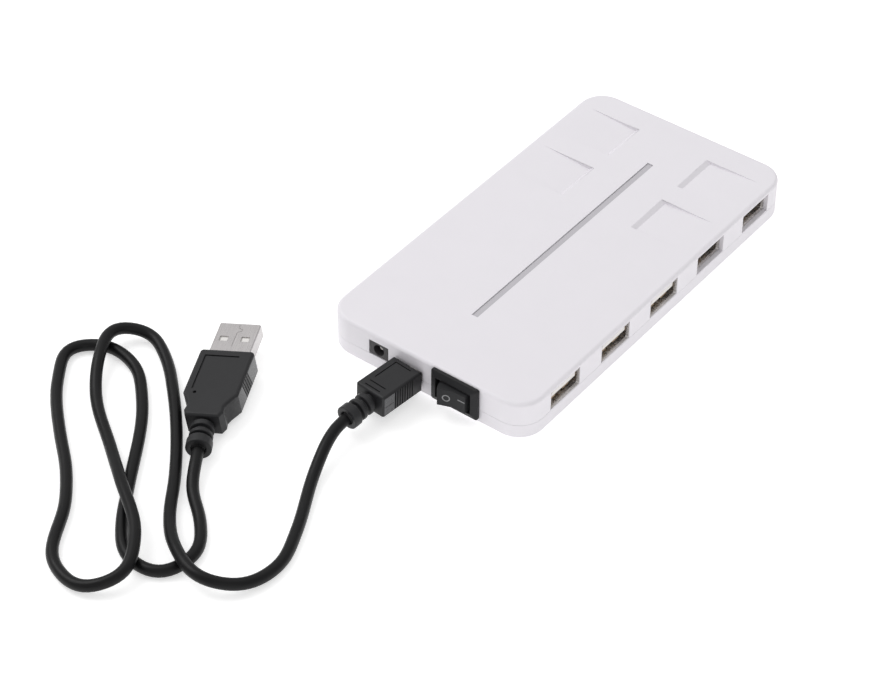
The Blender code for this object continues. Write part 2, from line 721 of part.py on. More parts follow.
def make_jack():
    """A barrel jack: a square housing with a round hole and a centre pin."""
    half = JACK_WIDTH / 2
    middle = (JACK_Z[0] + JACK_Z[1]) / 2
    start = FRONT + 0.1 * MM
    bm = block(
        (JACK_X - half, start, JACK_Z[0]), (JACK_X + half, start + JACK_DEPTH, JACK_Z[1]),
        0.15 * MM, segments=1,
    )
    body = add_part("dc_jack_body", bm, BLACK_GLOSS)
    bm = bmesh.new()
    cylinder(bm, JACK_HOLE_RADIUS, -JACK_HOLE_DEPTH, MM, segments=24)
    hole = add_cutter("jack_hole", bm, (JACK_X, start, middle))
    hole.rotation_euler = (math.radians(90), 0, 0)
    boolean(body, hole)
    bm = bmesh.new()
    cylinder(bm, JACK_PIN_RADIUS, -JACK_HOLE_DEPTH + GAP, -JACK_PIN_START, segments=12)
    pin = add_part("dc_jack_pin", bm, BRASS, (JACK_X, start, middle))
    pin.rotation_euler = (math.radians(90), 0, 0)


def mini_outline(width, height):
    """The mini-B section: a rectangle whose lower corners are cut back in a step."""
    half_width = width / 2
    half_height = height / 2
    step = 0.6 * MM
    return [
        (-half_width + step, -half_height), (half_width - step, -half_height),
        (half_width - step, -half_height * 0.35), (half_width, 0.0),
        (half_width, half_height), (-half_width, half_height),
        (-half_width, 0.0), (-half_width + step, -half_height * 0.35),
    ]


def mini_tube(outer, inner, front, back, name, finish, closed_back):
    """A thin tube of mini-B section along Y, from front to back."""
    turn = Matrix.Rotation(math.radians(90), 3, "X")
    bm = prism(mini_outline(*outer), -back, -front)
    bmesh.ops.rotate(bm, verts=bm.verts, matrix=turn)
    tube = add_part(name, bm, finish)
    end = back - 0.3 * MM if closed_back else back + MM
    bm = prism(mini_outline(*inner), -end, -front + MM)
    bmesh.ops.rotate(bm, verts=bm.verts, matrix=turn)
    hollow = add_cutter(name + "_hollow", bm)
    boolean(tube, hollow)
    return tube, hollow


def make_mini_socket():
    wall = 2 * SHELL_WALL
    inner = (MINI_WIDTH - wall, MINI_HEIGHT - wall)
    shell, hollow = mini_tube(
        (MINI_WIDTH, MINI_HEIGHT), inner, MINI_INSET, MINI_INSET + MINI_DEPTH,
        "mini_usb_socket_shell", STEEL, True,
    )
    shell.location = (MINI_X, FRONT, MINI_Z)
    hollow.location = shell.location
    back = MINI_INSET + MINI_DEPTH - 0.4 * MM
    outline = [
        (back, -1.4 * MM), (back, 1.5 * MM), (back - 0.8 * MM, 1.5 * MM),
        (back - 0.8 * MM, 0.7 * MM), (2.2 * MM, 0.7 * MM), (2.2 * MM, 0.1 * MM),
        (back - 0.8 * MM, 0.1 * MM), (back - 0.8 * MM, -1.4 * MM),
    ]
    bm = prism(outline, -1.8 * MM, 1.8 * MM)
    bmesh.ops.rotate(bm, verts=bm.verts, matrix=Matrix.Rotation(math.radians(90), 3, "X"))
    bmesh.ops.rotate(bm, verts=bm.verts, matrix=Matrix.Rotation(math.radians(90), 3, "Z"))
    add_part("mini_usb_socket_tongue", bm, CHIP_BLACK, (MINI_X, FRONT, MINI_Z))


# ---- Rocker switch ----

def pivot_y():
    return FRONT - BEZEL_EDGE - BEZEL_RISE + ROCKER_PIVOT_DEPTH


def make_switch_body():
    """A bezel that slopes up to the rocker, with the contact chamber behind it."""
    outer = rounded_rectangle(BEZEL_WIDTH, BEZEL_HEIGHT, BEZEL_CORNER)
    inner = rounded_rectangle(
        BEZEL_WIDTH - 2 * BEZEL_BORDER + BEZEL_RIM, BEZEL_HEIGHT - 2 * BEZEL_BORDER + BEZEL_RIM,
        0.3 * MM,
    )
    bm = loft([(outer, 0.1 * MM), (outer, BEZEL_EDGE), (inner, BEZEL_EDGE + BEZEL_RISE)])
    body = add_part("switch_body", bm, BLACK_SATIN, (SWITCH_X, FRONT, SWITCH_Z))
    body.rotation_euler = (math.radians(90), 0, 0)
    bm = bmesh.new()
    chamber = (SWITCH_BODY_WIDTH / 2, SWITCH_BODY_HEIGHT / 2)
    box(bm, (-chamber[0], -chamber[1], -SWITCH_BODY_DEPTH), (chamber[0], chamber[1], 0.5 * MM))
    boolean(body, switch_helper("switch_chamber", bm), "UNION")
    hole = (BEZEL_WIDTH / 2 - BEZEL_BORDER, BEZEL_HEIGHT / 2 - BEZEL_BORDER)
    bm = bmesh.new()
    box(bm, (-hole[0], -hole[1], -SWITCH_CAVITY_DEPTH), (hole[0], hole[1], 5 * MM))
    boolean(body, switch_helper("switch_cavity", bm))
    bm = bmesh.new()
    depth = BEZEL_EDGE + BEZEL_RISE - ROCKER_PIVOT_DEPTH
    reach = hole[1] + PIVOT_HOLE_REACH
    cylinder(bm, PIVOT_HOLE_RADIUS, -reach, reach, segments=14)
    bmesh.ops.rotate(bm, verts=bm.verts, matrix=Matrix.Rotation(math.radians(90), 3, "X"))
    bmesh.ops.translate(bm, verts=bm.verts, vec=(0, 0, depth))
    boolean(body, switch_helper("switch_pivot_holes", bm))
    bm = bmesh.new()
    slot_x, slot_z = TERMINAL_SLOT[0] / 2, TERMINAL_SLOT[1] / 2
    for x, _ in TERMINALS:
        box(
            bm, (x - slot_x, -slot_z, -SWITCH_BODY_DEPTH - THROUGH),
            (x + slot_x, slot_z, -SWITCH_CAVITY_DEPTH + THROUGH),
        )
    boolean(body, switch_helper("switch_terminal_slots", bm))


def switch_helper(name, bm):
    helper = add_cutter(name, bm, (SWITCH_X, FRONT, SWITCH_Z))
    helper.rotation_euler = (math.radians(90), 0, 0)
    return helper


def rocker_outline():
    """Seen along the pivot, outwards is -Y: two faces that meet in a shallow V, and steep ends."""
    tip = (ROCKER_RADIUS * math.sin(ROCKER_TIP_ANGLE), -ROCKER_RADIUS * math.cos(ROCKER_TIP_ANGLE))
    lower = [(4.4 * MM, -0.4 * MM), (2.6 * MM, 1.4 * MM), (1.0 * MM, 1.6 * MM)]
    nub = [(0.8 * MM, 4.0 * MM), (0.4 * MM, 4.4 * MM)]
    right = [(0.0, -ROCKER_FACE), tip, ROCKER_END] + lower + nub
    left = [(-x, y) for x, y in reversed(right[1:])]
    return right + left


def make_rocker():
    half = ROCKER_HEIGHT / 2
    bm = prism(rocker_outline(), -half, half)
    place = (SWITCH_X, pivot_y(), SWITCH_Z)
    rocker = add_part("switch_rocker", bm, BLACK_SATIN, place)
    rocker.rotation_euler = (0, 0, ROCKER_TILT)
    bm = bmesh.new()
    cylinder(bm, PIVOT_RADIUS, -half - PIVOT_REACH, half + PIVOT_REACH, segments=12)
    boolean(rocker, add_cutter("rocker_pivot", bm, place), "UNION")
    size = Vector((ARM_LENGTH, ARM_THICKNESS, BLADE_WIDTH)) / 2
    bm = block(-size, size, BLADE_EDGE, segments=1)
    arm = add_part("switch_contact_arm", bm, BRASS, (SWITCH_X, FRONT + ARM_DEPTH, SWITCH_Z))
    arm.rotation_euler = (0, 0, -ARM_TILT)
    for number, (x, depth) in enumerate(TERMINALS, 1):
        bm = block(
            (-TERMINAL_THICKNESS / 2, 0, -BLADE_WIDTH / 2),
            (TERMINAL_THICKNESS / 2, TERMINAL_LENGTH, BLADE_WIDTH / 2), BLADE_EDGE, segments=1,
        )
        add_part(f"switch_terminal_{number}", bm, BRASS, (SWITCH_X + x, FRONT + depth, SWITCH_Z))


def make_switch_wires():
    """Two short leads from the terminals down to the board."""
    for number, (x, depth) in enumerate(TERMINALS, 1):
        end = FRONT + depth + TERMINAL_LENGTH
        start = Vector((SWITCH_X + x, end + 0.8 * MM, SWITCH_Z))
        stop = Vector((SWITCH_X + x, end + 6 * MM, BOARD_Z[1] + 0.8 * MM))
        points = [
            start, start + Vector((0, 2.2 * MM, 0.4 * MM)),
            stop + Vector((0, -1.6 * MM, 1.0 * MM)), stop,
        ]
        finish = WIRE_RED if number == 1 else RUBBER
        make_tube(
            f"switch_wire_{number}", resample(smooth_curve(points, 8), WIRE_STEP), WIRE_RADIUS, finish
        )


# ---- Cable ----

def smooth_curve(points, steps):
    """A smooth curve through points that may be unevenly spaced."""
    padded = [2 * points[0] - points[1]] + list(points) + [2 * points[-1] - points[-2]]
    curve = []
    for i in range(1, len(padded) - 2):
        before, start, end, after = padded[i - 1:i + 3]
        first, middle, last = (start - before).length, (end - start).length, (after - end).length
        share = middle / (first + middle)
        leave = (start - before) * middle / first * share + (end - start) * (1 - share)
        share = middle / (middle + last)
        arrive = (after - end) * middle / last * share + (end - start) * (1 - share)
        for step in range(steps):
            t = step / steps
            curve.append(
                start * (2 * t ** 3 - 3 * t ** 2 + 1) + leave * (t ** 3 - 2 * t ** 2 + t)
                + end * (3 * t ** 2 - 2 * t ** 3) + arrive * (t ** 3 - t ** 2)
            )
    curve.append(padded[-2].copy())
    return curve


def resample(curve, spacing):
    """Points at equal distances along a fine curve, its ends included."""
    runs = [0.0]
    for a, b in zip(curve, curve[1:]):
        runs.append(runs[-1] + (b - a).length)
    count = max(2, round(runs[-1] / spacing))
    points = []
    index = 0
    for number in range(count + 1):
        target = runs[-1] * number / count
        while index < len(runs) - 2 and runs[index + 1] < target:
            index += 1
        share = (target - runs[index]) / (runs[index + 1] - runs[index])
        points.append(curve[index].lerp(curve[index + 1], share))
    return points


def relaxed(points, passes):
    """The same points, each drawn towards its neighbours again and again. The ends stay put."""
    for _ in range(passes):
        inner = [(a + 2 * b + c) / 4 for a, b, c in zip(points, points[1:], points[2:])]
        points = [points[0]] + inner + [points[-1]]
    return points


def make_tube(name, points, radius, finish):
    data = bpy.data.curves.new(name, "CURVE")
    data.dimensions = "3D"
    data.bevel_depth = radius
    data.bevel_resolution = 2
    data.use_fill_caps = True
    spline = data.splines.new("POLY")
    spline.points.add(len(points) - 1)
    for point, place in zip(spline.points, points):
        point.co = (*place, 1.0)
    data.materials.append(finish)
    obj = bpy.data.objects.new(name, data)
    PARTS.objects.link(obj)
    return obj


def ringed_relief(name, radius, length):
    """A strain relief turned about Z, from the origin down to -length. Its last ring is fatter."""
    groove = radius - RELIEF_GROOVE
    ring = length * RELIEF_RING_SHARE
    cut = length * RELIEF_CUT_SHARE
    profile = [(0.0, RELIEF_ROOT), (groove, RELIEF_ROOT), (groove, -cut)]
    low = -cut
    for number in range(1, RELIEF_RINGS + 1):
        last = number == RELIEF_RINGS
        size = radius + RELIEF_FLARE if last else radius
        profile.append((size, low - OVERLAP))
        profile.append((size, low - ring + OVERLAP))
        low -= ring
        if not last:
            profile.append((groove, low))
            low -= cut
            profile.append((groove, low))
    profile.append((0.0, low))
    return turned(name, profile), -low


def make_mini_plug():
    """The plug is turned about a point inside the socket, and faces +Y into it."""
    pivot = (MINI_X, FRONT + MINI_PIVOT_DEPTH, MINI_Z)
    frame = empty("mini_plug_frame", pivot, (MINI_PLUG_PITCH, 0, MINI_PLUG_YAW))
    face = -MINI_PIVOT_DEPTH
    half_x = MINI_BODY_WIDTH / 2
    half_z = MINI_BODY_HEIGHT / 2
    start = MINI_PLUG_GAP
    stop = MINI_PLUG_GAP + MINI_BODY_LENGTH
    chamfer = MINI_BODY_CHAMFER
    outline = [
        (-half_x, -start), (-half_x, chamfer - stop), (chamfer - half_x, -stop),
        (half_x - chamfer, -stop), (half_x, chamfer - stop), (half_x, -start),
    ]
    bm = prism(outline, -half_z, half_z)
    bevel_edges(bm, lambda edge: not along(2)(edge), MINI_BODY_EDGE, 2)
    body = add_part("mini_plug_body", bm, BLACK_SATIN, (0, face, 0))
    body.parent = frame
    relief, length = ringed_relief("mini_relief", MINI_RELIEF_RADIUS, MINI_RELIEF_LENGTH)
    relief.parent = frame
    relief.location = (0, face - stop, 0)
    relief.rotation_euler = (math.radians(-90) + MINI_RELIEF_DROOP, 0, 0)
    boolean(body, relief, "UNION")
    shell, hollow = mini_tube(
        MINI_TIP_OUTER, MINI_TIP_INNER, -MINI_PLUG_GAP + 0.1 * MM, MINI_TIP_LENGTH,
        "mini_plug_shell", STEEL, False,
    )
    for obj in (shell, hollow):
        obj.location = (0, face, 0)
        obj.parent = frame
    bm = block((-2.0 * MM, 0.2 * MM, -0.85 * MM), (2.0 * MM, 5.6 * MM, -0.3 * MM))
    insulator = add_part("mini_plug_insulator", bm, CHIP_BLACK, (0, face, 0))
    insulator.parent = frame
    return relief, length


def make_usb_plug():
    """The plug's own frame has +Y towards its tip, and the face of the overmould at the origin."""
    frame = empty("usb_plug_frame", PLUG_FACE, (0, 0, 0))
    turn = (
        Matrix.Rotation(PLUG_HEADING, 3, "Z") @ Matrix.Rotation(-PLUG_ROLL, 3, "Y")
        @ Matrix.Rotation(PLUG_PITCH, 3, "X")
    )
    frame.rotation_euler = turn.to_euler()
    half_x = PLUG_BODY_WIDTH / 2
    half_z = PLUG_BODY_HEIGHT / 2
    cut = PLUG_FRONT_RADIUS * (1 - math.sqrt(0.5))
    right = [
        (half_x - PLUG_FRONT_RADIUS, 0.0), (half_x - cut, -cut), (half_x, -PLUG_FRONT_RADIUS),
        (half_x, -17.3 * MM), (PLUG_WAIST + 0.6 * MM, -20.6 * MM), (PLUG_WAIST, -22.2 * MM),
        (PLUG_COLLAR, -24.0 * MM), (PLUG_COLLAR - 0.8 * MM, -PLUG_BODY_LENGTH),
    ]
    outline = right + [(-x, y) for x, y in reversed(right)]
    bm = prism(outline, -half_z, half_z)
    bevel_edges(bm, lambda edge: not along(2)(edge), PLUG_BODY_EDGE, 2)
    body = add_part("usb_plug_body", bm, BLACK_SATIN)
    body.parent = frame
    relief, length = ringed_relief("usb_relief", PLUG_RELIEF_RADIUS, PLUG_RELIEF_LENGTH)
    relief.parent = frame
    relief.location = (0, -PLUG_BODY_LENGTH, 0)
    relief.rotation_euler = (math.radians(-90), 0, PLUG_RELIEF_BEND)
    boolean(body, relief, "UNION")
    inner_x = PLUG_SHELL_WIDTH / 2 - SHELL_WALL
    inner_z = PLUG_SHELL_HEIGHT / 2 - SHELL_WALL
    bm = block(
        (-inner_x - SHELL_WALL, GAP, -inner_z - SHELL_WALL),
        (inner_x + SHELL_WALL, PLUG_SHELL_LENGTH, inner_z + SHELL_WALL), 0.6 * MM, axis=1, segments=3,
    )
    shell = add_part("usb_plug_shell", bm, STEEL)
    shell.parent = frame
    bm = block((-inner_x, -MM, -inner_z), (inner_x, 20 * MM, inner_z), 0.3 * MM, axis=1, segments=2)
    hollow = add_cutter("plug_hollow", bm)
    hollow.parent = frame
    boolean(shell, hollow)
    bm = bmesh.new()
    for x in (-PLUG_WINDOW_X, PLUG_WINDOW_X):
        box(
            bm, (x - PLUG_WINDOW_WIDTH / 2, PLUG_WINDOW_Y[0], -PLUG_SHELL_HEIGHT),
            (x + PLUG_WINDOW_WIDTH / 2, PLUG_WINDOW_Y[1], PLUG_SHELL_HEIGHT),
        )
    windows = add_cutter("plug_windows", bm)
    windows.parent = frame
    boolean(shell, windows)
    half_width = inner_x - 0.1 * MM
    bm = block(
        (-half_width, GAP, 0.1 * MM), (half_width, PLUG_INSULATOR_END, inner_z - 0.1 * MM)
    )
    insulator = add_part("usb_plug_insulator", bm, TONGUE_WHITE)
    insulator.parent = frame
    return relief, length


def make_cord(mini_relief, mini_length, plug_relief, plug_length):
    """The tube runs between the strain reliefs, a small gap from each, and never under the table."""
    bpy.context.view_layer.update()
    route = [Vector(point) * MM for point in CORD_ROUTE_MM]
    start = [
        mini_relief.matrix_world @ Vector((0, 0, -mini_length - GAP - ahead))
        for ahead in (0, CORD_LEAD)
    ]
    stop = [
        plug_relief.matrix_world @ Vector((0, 0, -plug_length - GAP - ahead))
        for ahead in (CORD_LEAD, 0)
    ]
    route = start + route + stop
    fine = relaxed(resample(smooth_curve(route, 12), CORD_FINE_STEP), CORD_PASSES)
    points = resample(fine, CORD_STEP)
    for point in points:
        point.z = max(point.z, CORD_RADIUS)
    make_tube("cord", points, CORD_RADIUS, RUBBER)


for leftover in list(bpy.data.objects):
    bpy.data.objects.remove(leftover)

PARTS = new_collection("usb_hub")
CUTTERS = new_collection("cutters", hidden=True)

WHITE = material("case_white", (0.80, 0.79, 0.81), 0.45)
LIGHT_PIPE = material("light_pipe", (0.47, 0.46, 0.49), 0.3)
RUBBER = material("black_rubber", (0.03, 0.03, 0.033), 0.6)
STEEL = material("plated_steel", (0.62, 0.60, 0.58), 0.25, 1.0)
BRASS = material("brass", (0.75, 0.6, 0.3), 0.3, 1.0)
ALUMINIUM = material("aluminium_can", (0.75, 0.76, 0.78), 0.3, 1.0)
BOARD_GREEN = material("board_green", (0.03, 0.18, 0.09), 0.4)
CHIP_BLACK = material("chip_black", (0.02, 0.02, 0.02), 0.5)
LED_CLEAR = material("led_clear", (0.85, 0.9, 0.85), 0.2)
TONGUE_WHITE = material("tongue_white", (0.85, 0.84, 0.83), 0.4)
BLACK_GLOSS = material("black_gloss", (0.035, 0.035, 0.038), 0.3)
BLACK_SATIN = material("black_satin", (0.04, 0.04, 0.042), 0.45)
WIRE_RED = material("wire_red", (0.5, 0.03, 0.02), 0.4)

SOCKET_WINDOWS = socket_windows()
FRONT_WINDOWS = front_windows()

make_top_cover()
make_bottom_cover()
make_light_bar()
make_feet()
make_screws()
make_board()
make_chips()
make_small_components()
make_usb_sockets()
make_jack()
make_mini_socket()
make_switch_body()
make_rocker()
make_switch_wires()
make_cord(*make_mini_plug(), *make_usb_plug())
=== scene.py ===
"""The looks of a slim USB hub and its cable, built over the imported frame."""

import math

import bmesh
import bpy
from mathutils import Euler, Matrix, Vector


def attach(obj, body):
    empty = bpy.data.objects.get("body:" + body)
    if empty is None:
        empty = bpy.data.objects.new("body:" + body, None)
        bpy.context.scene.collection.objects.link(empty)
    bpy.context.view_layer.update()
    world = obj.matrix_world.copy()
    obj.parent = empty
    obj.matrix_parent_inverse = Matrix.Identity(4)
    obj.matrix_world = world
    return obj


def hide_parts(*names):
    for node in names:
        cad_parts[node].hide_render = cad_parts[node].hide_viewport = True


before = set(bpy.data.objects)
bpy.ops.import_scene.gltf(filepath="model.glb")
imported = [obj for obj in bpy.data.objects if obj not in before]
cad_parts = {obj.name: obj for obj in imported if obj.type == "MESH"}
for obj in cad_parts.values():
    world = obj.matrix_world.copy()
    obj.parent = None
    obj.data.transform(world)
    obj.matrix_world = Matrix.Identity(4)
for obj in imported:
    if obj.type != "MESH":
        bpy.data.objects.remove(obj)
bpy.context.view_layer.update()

MM = 0.001
GAP = 0.3 * MM
OVERLAP = 0.1 * MM

# Case
SIDE = 34.25 * MM
HALF_LENGTH = 65.1 * MM
CASE_BOTTOM = 0.8 * MM
CASE_TOP = 13.3 * MM
SEAM = 5.6 * MM
SEAM_GAP = 0.05 * MM
CORNER_RADIUS = 8.0 * MM
TOP_FILLET = 1.2 * MM
BOTTOM_FILLET = 1.0 * MM
WALL = 1.8 * MM
FLOOR_TOP = 2.4 * MM
CEILING = 12.15 * MM
EDGE = 0.07 * MM
PILLAR_RADIUS = 3.2 * MM
PILLAR_LOW = 5.0 * MM
BOSS_RADIUS = 4.2 * MM
BOSS_TOP = 4.6 * MM
POST_RADIUS = 2.0 * MM
POST_TOP = 3.4 * MM
POST_X = 12.0 * MM
POST_Y = 30.0 * MM
PAD_X = (10.5 * MM, 19.4 * MM)
PAD_Y = (14.5 * MM, 57.5 * MM)
PAD_LOW = 11.4 * MM

# Rocker switch
SWITCH_X = 11.2 * MM
SWITCH_Z = 7.65 * MM
BEZEL_WIDTH = 15.6 * MM
BEZEL_HEIGHT = 10.6 * MM
BEZEL_EDGE = 1.1 * MM
BEZEL_RISE = 0.7 * MM
BEZEL_BORDER = 1.95 * MM
BEZEL_RIM = 0.4 * MM
BEZEL_CORNER = 0.6 * MM
SWITCH_BODY = (13.0 * MM, 8.6 * MM, 12.5 * MM)
SWITCH_CAVITY_DEPTH = 9.0 * MM
ROCKER_HEIGHT = 6.1 * MM
ROCKER_RADIUS = 6.1 * MM
ROCKER_PIVOT_DEPTH = 2.5 * MM
ROCKER_FACE = 3.7 * MM
ROCKER_TIP_ANGLE = math.radians(43.7)
ROCKER_TIP = (
    ROCKER_RADIUS * math.sin(ROCKER_TIP_ANGLE), -ROCKER_RADIUS * math.cos(ROCKER_TIP_ANGLE),
)
ROCKER_END = (4.65 * MM, -2.6 * MM)
ROCKER_TILT = math.radians(11.0)
ROCKER_REACH = (
    BEZEL_EDGE + BEZEL_RISE - ROCKER_PIVOT_DEPTH
    + ROCKER_RADIUS * math.cos(ROCKER_TIP_ANGLE - ROCKER_TILT)
)
CASE_Y = ROCKER_REACH / 2
FRONT = CASE_Y - HALF_LENGTH
TERMINAL_XS = (-4.0 * MM, 0.0)
TERMINAL_SLOT = (1.1 * MM, 3.6 * MM)
SWITCH_HOLE_RADIUS = 0.3 * MM
PIVOT_RADIUS = 0.75 * MM
PIVOT_REACH = 0.6 * MM
PIVOT_HOLE_RADIUS = 1.05 * MM
PIVOT_HOLE_REACH = 0.7 * MM
MARK_SUNK = 0.05 * MM
MARK_RISE = 0.015 * MM
OFF_MARK_X = 1.66 * MM
OFF_MARK_RADII = (0.82 * MM, 1.15 * MM)
ON_MARK_X = (1.85 * MM, 4.15 * MM)
ON_MARK_HALF_WIDTH = 0.17 * MM
ON_MARK_RISE = 0.85 * MM

# USB-A sockets
PORT_PITCH = 23.65 * MM
PORT_SHIFT = 0.3 * MM
PORT_Z = 9.0 * MM
SHELL_WIDTH = 13.1 * MM
SHELL_HEIGHT = 5.7 * MM
SHELL_DEPTH = 13.0 * MM
SHELL_WALL = 0.3 * MM
SHELL_RADIUS = 0.6 * MM
LIP_WALL = 0.08 * MM
LIP_DEPTH = 0.8 * MM
SHELL_FLUSH = 0.1 * MM
SHELL_SUNK = 1.3 * MM
SUNK_PORTS = (4, 5)
WINDOW_CLEARANCE = 0.15 * MM
TONGUE_WIDTH = 11.1 * MM
TONGUE_INSET = 0.75 * MM
TONGUE_LOW = 0.2 * MM
TONGUE_HIGH = 2.04 * MM
TONGUE_ROOT = 3.2 * MM
CONTACT_YS = (-3.5 * MM, -1.0 * MM, 1.0 * MM, 3.5 * MM)
CONTACT_X = (-9.0 * MM, -2.1 * MM)
CONTACT_HALF_WIDTH = 0.5 * MM
SPRING_YS = (-3.1 * MM, 3.1 * MM)
SPRING_PATH_MM = ((-9.0, 0.0), (-6.0, 0.3), (-3.6, 0.75), (-2.8, 0.72), (-2.0, 0.3))
SPRING_HALF_WIDTH = 1.5 * MM
SPRING_HALF_THICKNESS = 0.1 * MM
SPRING_SLOT_X = (-9.2 * MM, -1.8 * MM)
SPRING_SLOT_HALF_WIDTH = 1.9 * MM

# Finger ramps and light bar
RAMP_WIDTH = 15.8 * MM
RAMP_WALL_X = 12.0 * MM
RAMP_DEEP_X = 13.3 * MM
RAMP_END_X = 30.0 * MM
RAMP_DEPTH = 0.95 * MM
BAR_WIDTH = 2.0 * MM
BAR_LENGTH = 86.0 * MM
BAR_Y = CASE_Y + 0.8 * MM
BAR_TOP = CASE_TOP - 0.3 * MM
BAR_CLEARANCE = 0.1 * MM
BAR_FLANGE_HALF_WIDTH = 2.5 * MM
BAR_FLANGE_HEIGHT = 0.9 * MM

# Power jack and mini-B socket
JACK_X = -15.55 * MM
JACK_WIDTH = 6.4 * MM
JACK_Z = (5.75 * MM, 10.4 * MM)
JACK_DEPTH = 11.0 * MM
JACK_HOLE_RADIUS = 1.75 * MM
JACK_HOLE_DEPTH = 8.5 * MM
JACK_PIN_RADIUS = 0.65 * MM
JACK_PIN_START = 1.2 * MM
MINI_X = -4.35 * MM
MINI_Z = 6.3 * MM
MINI_WIDTH = 7.6 * MM
MINI_HEIGHT = 3.9 * MM
MINI_DEPTH = 8.6 * MM
MINI_INSET = 0.3 * MM
MINI_STEP = 0.6 * MM
MINI_STEP_SHARE = 0.35

# Screws and feet
SCREW_X = 27.0 * MM
SCREW_Y = 58.5 * MM
SCREW_HEAD_RADIUS = 2.6 * MM
SCREW_HEAD_Z = (1.0 * MM, 2.4 * MM)
SCREW_SHANK_RADIUS = 1.15 * MM
SCREW_POINT_RADIUS = 0.6 * MM
SCREW_SHANK_Z = (2.2 * MM, 9.2 * MM)
SCREW_CROSS = (1.5 * MM, 0.3 * MM)
SCREW_CROSS_Z = (0.5 * MM, 1.8 * MM)
SCREW_HOLE_RADIUS = 1.5 * MM
SCREW_HOLE_TOP = 9.8 * MM
BOSS_HOLE_TOP = 6.0 * MM
SCREW_RECESS_RADIUS = 3.0 * MM
SCREW_RECESS_TOP = 2.7 * MM
FOOT_X = 25.0 * MM
FOOT_Y = 46.0 * MM
FOOT_RADIUS = 4.5 * MM
FOOT_HEIGHT = 1.1 * MM
FOOT_RECESS_DEPTH = 0.6 * MM

# Mini-B plug: its frame's +Y points into the socket
MINI_PIVOT_DEPTH = 3.0 * MM
MINI_PLUG_GAP = 1.0 * MM
MINI_BODY_WIDTH = 10.2 * MM
MINI_BODY_HEIGHT = 7.1 * MM
MINI_BODY_LENGTH = 15.2 * MM
MINI_BODY_EDGE = 0.7 * MM
MINI_BODY_CHAMFER = 0.5 * MM
MINI_MARK_DEPTH = 0.32 * MM
MINI_MARKS_MM = (
    ((-2.9, -2.95), (2.6, -2.6)), ((-2.95, -11.0), (-2.6, -2.6)),
    ((-2.9, -13.1), (2.75, -12.7)), ((-2.9, -15.0), (2.5, -14.6)),
)
MINI_RIBS = 8
MINI_RIB_START = 4.7 * MM
MINI_RIB_PITCH = 0.97 * MM
MINI_RIB_HALF_WIDTH = 0.22 * MM
MINI_RIB_DEPTH = 0.25 * MM
MINI_RIB_HALF_HEIGHT = 2.9 * MM
MINI_LINE_DEPTH = 0.12 * MM
MINI_LINE_Y = (-15.3 * MM, -12.1 * MM)
MINI_LINE_Z = (-0.28 * MM, -0.12 * MM)
MINI_PANELS = ((-16.0 * MM, -12.0 * MM),)
MINI_TIP_OUTER = (6.2 * MM, 2.6 * MM)
MINI_TIP_INNER = (5.6 * MM, 2.0 * MM)
MINI_TIP_LENGTH = 6.2 * MM
MINI_RELIEF_RADIUS = 3.2 * MM
MINI_RELIEF_LENGTH = 8.9 * MM
MINI_RELIEF_DROOP = math.radians(5.0)
MINI_FRAME = Matrix.LocRotScale(
    Vector((MINI_X, FRONT + MINI_PIVOT_DEPTH, MINI_Z)),
    Euler((math.radians(-2.0), 0, math.radians(-4.5))), None,
) @ Matrix.Translation((0, -MINI_PIVOT_DEPTH, 0))

# USB-A plug: its frame's origin is on the face of the overmould, and +Y points to the tip
PLUG_SHELL_WIDTH = 12.0 * MM
PLUG_SHELL_HEIGHT = 4.5 * MM
PLUG_SHELL_LENGTH = 12.1 * MM
PLUG_BODY_WIDTH = 15.6 * MM
PLUG_BODY_HEIGHT = 7.3 * MM
PLUG_BODY_LENGTH = 26.0 * MM
PLUG_BODY_EDGE = 0.9 * MM
PLUG_FRONT_RADIUS = 0.9 * MM
PLUG_FRONT_CUT = 0.3 * MM
PLUG_WAIST = 5.3 * MM
PLUG_COLLAR = 5.6 * MM
PLUG_SHELL_RADIUS = 0.6 * MM
PLUG_WINDOW_XS = (-3.1 * MM, 3.1 * MM)
PLUG_WINDOW_Y = (4.9 * MM, 6.9 * MM)
PLUG_WINDOW_HALF_WIDTH = 1.2 * MM
PLUG_INSULATOR_END = 11.4 * MM
PLUG_CONTACT_Y = (3.0 * MM, 10.9 * MM)
PLUG_CONTACT_HEIGHT = 0.2 * MM
PLUG_MARK_DEPTH = 0.4 * MM
PLUG_MARKS_MM = (((-5.7, -3.05), (4.1, -2.5)), ((-5.75, -16.0), (-5.2, -2.5)))
PLUG_DOT_PLACE = (-4.4 * MM, -17.4 * MM)
PLUG_DOT_RADIUS = 0.5 * MM
PLUG_DOT_DEPTH = 0.7 * MM
PLUG_RIBS = 5
PLUG_RIB_START = 7.3 * MM
PLUG_RIB_PITCH = 1.25 * MM
PLUG_RIB_LEAN = 17
PLUG_RIB_LOW = (-0.25 * MM, -0.17 * MM, -3.1 * MM)
PLUG_RIB_HIGH = (0.5 * MM, 0.17 * MM, 3.1 * MM)
PLUG_PANELS = ((-6.5 * MM, -2.0 * MM), (-17.0 * MM, -13.0 * MM))
PLUG_SEAM_MM = ((0.1, 13.0), (0.1, 10.4), (1.3, 9.8), (1.3, 9.3), (0.1, 8.4), (0.0, 2.9))
PLUG_SEAM_HALF_WIDTH = 0.05 * MM
PLUG_SEAM_DEPTH = 0.18 * MM
PLUG_RELIEF_RADIUS = 3.3 * MM
PLUG_RELIEF_LENGTH = 9.5 * MM
PLUG_RELIEF_BEND = math.radians(8.0)
PLUG_FRAME = (
    Matrix.Translation((-47.85 * MM, -87.75 * MM, 4.91 * MM))
    @ Matrix.Rotation(math.radians(24.9), 4, "Z")
    @ Matrix.Rotation(math.radians(-7.0), 4, "Y")
    @ Matrix.Rotation(math.radians(1.5), 4, "X")
)

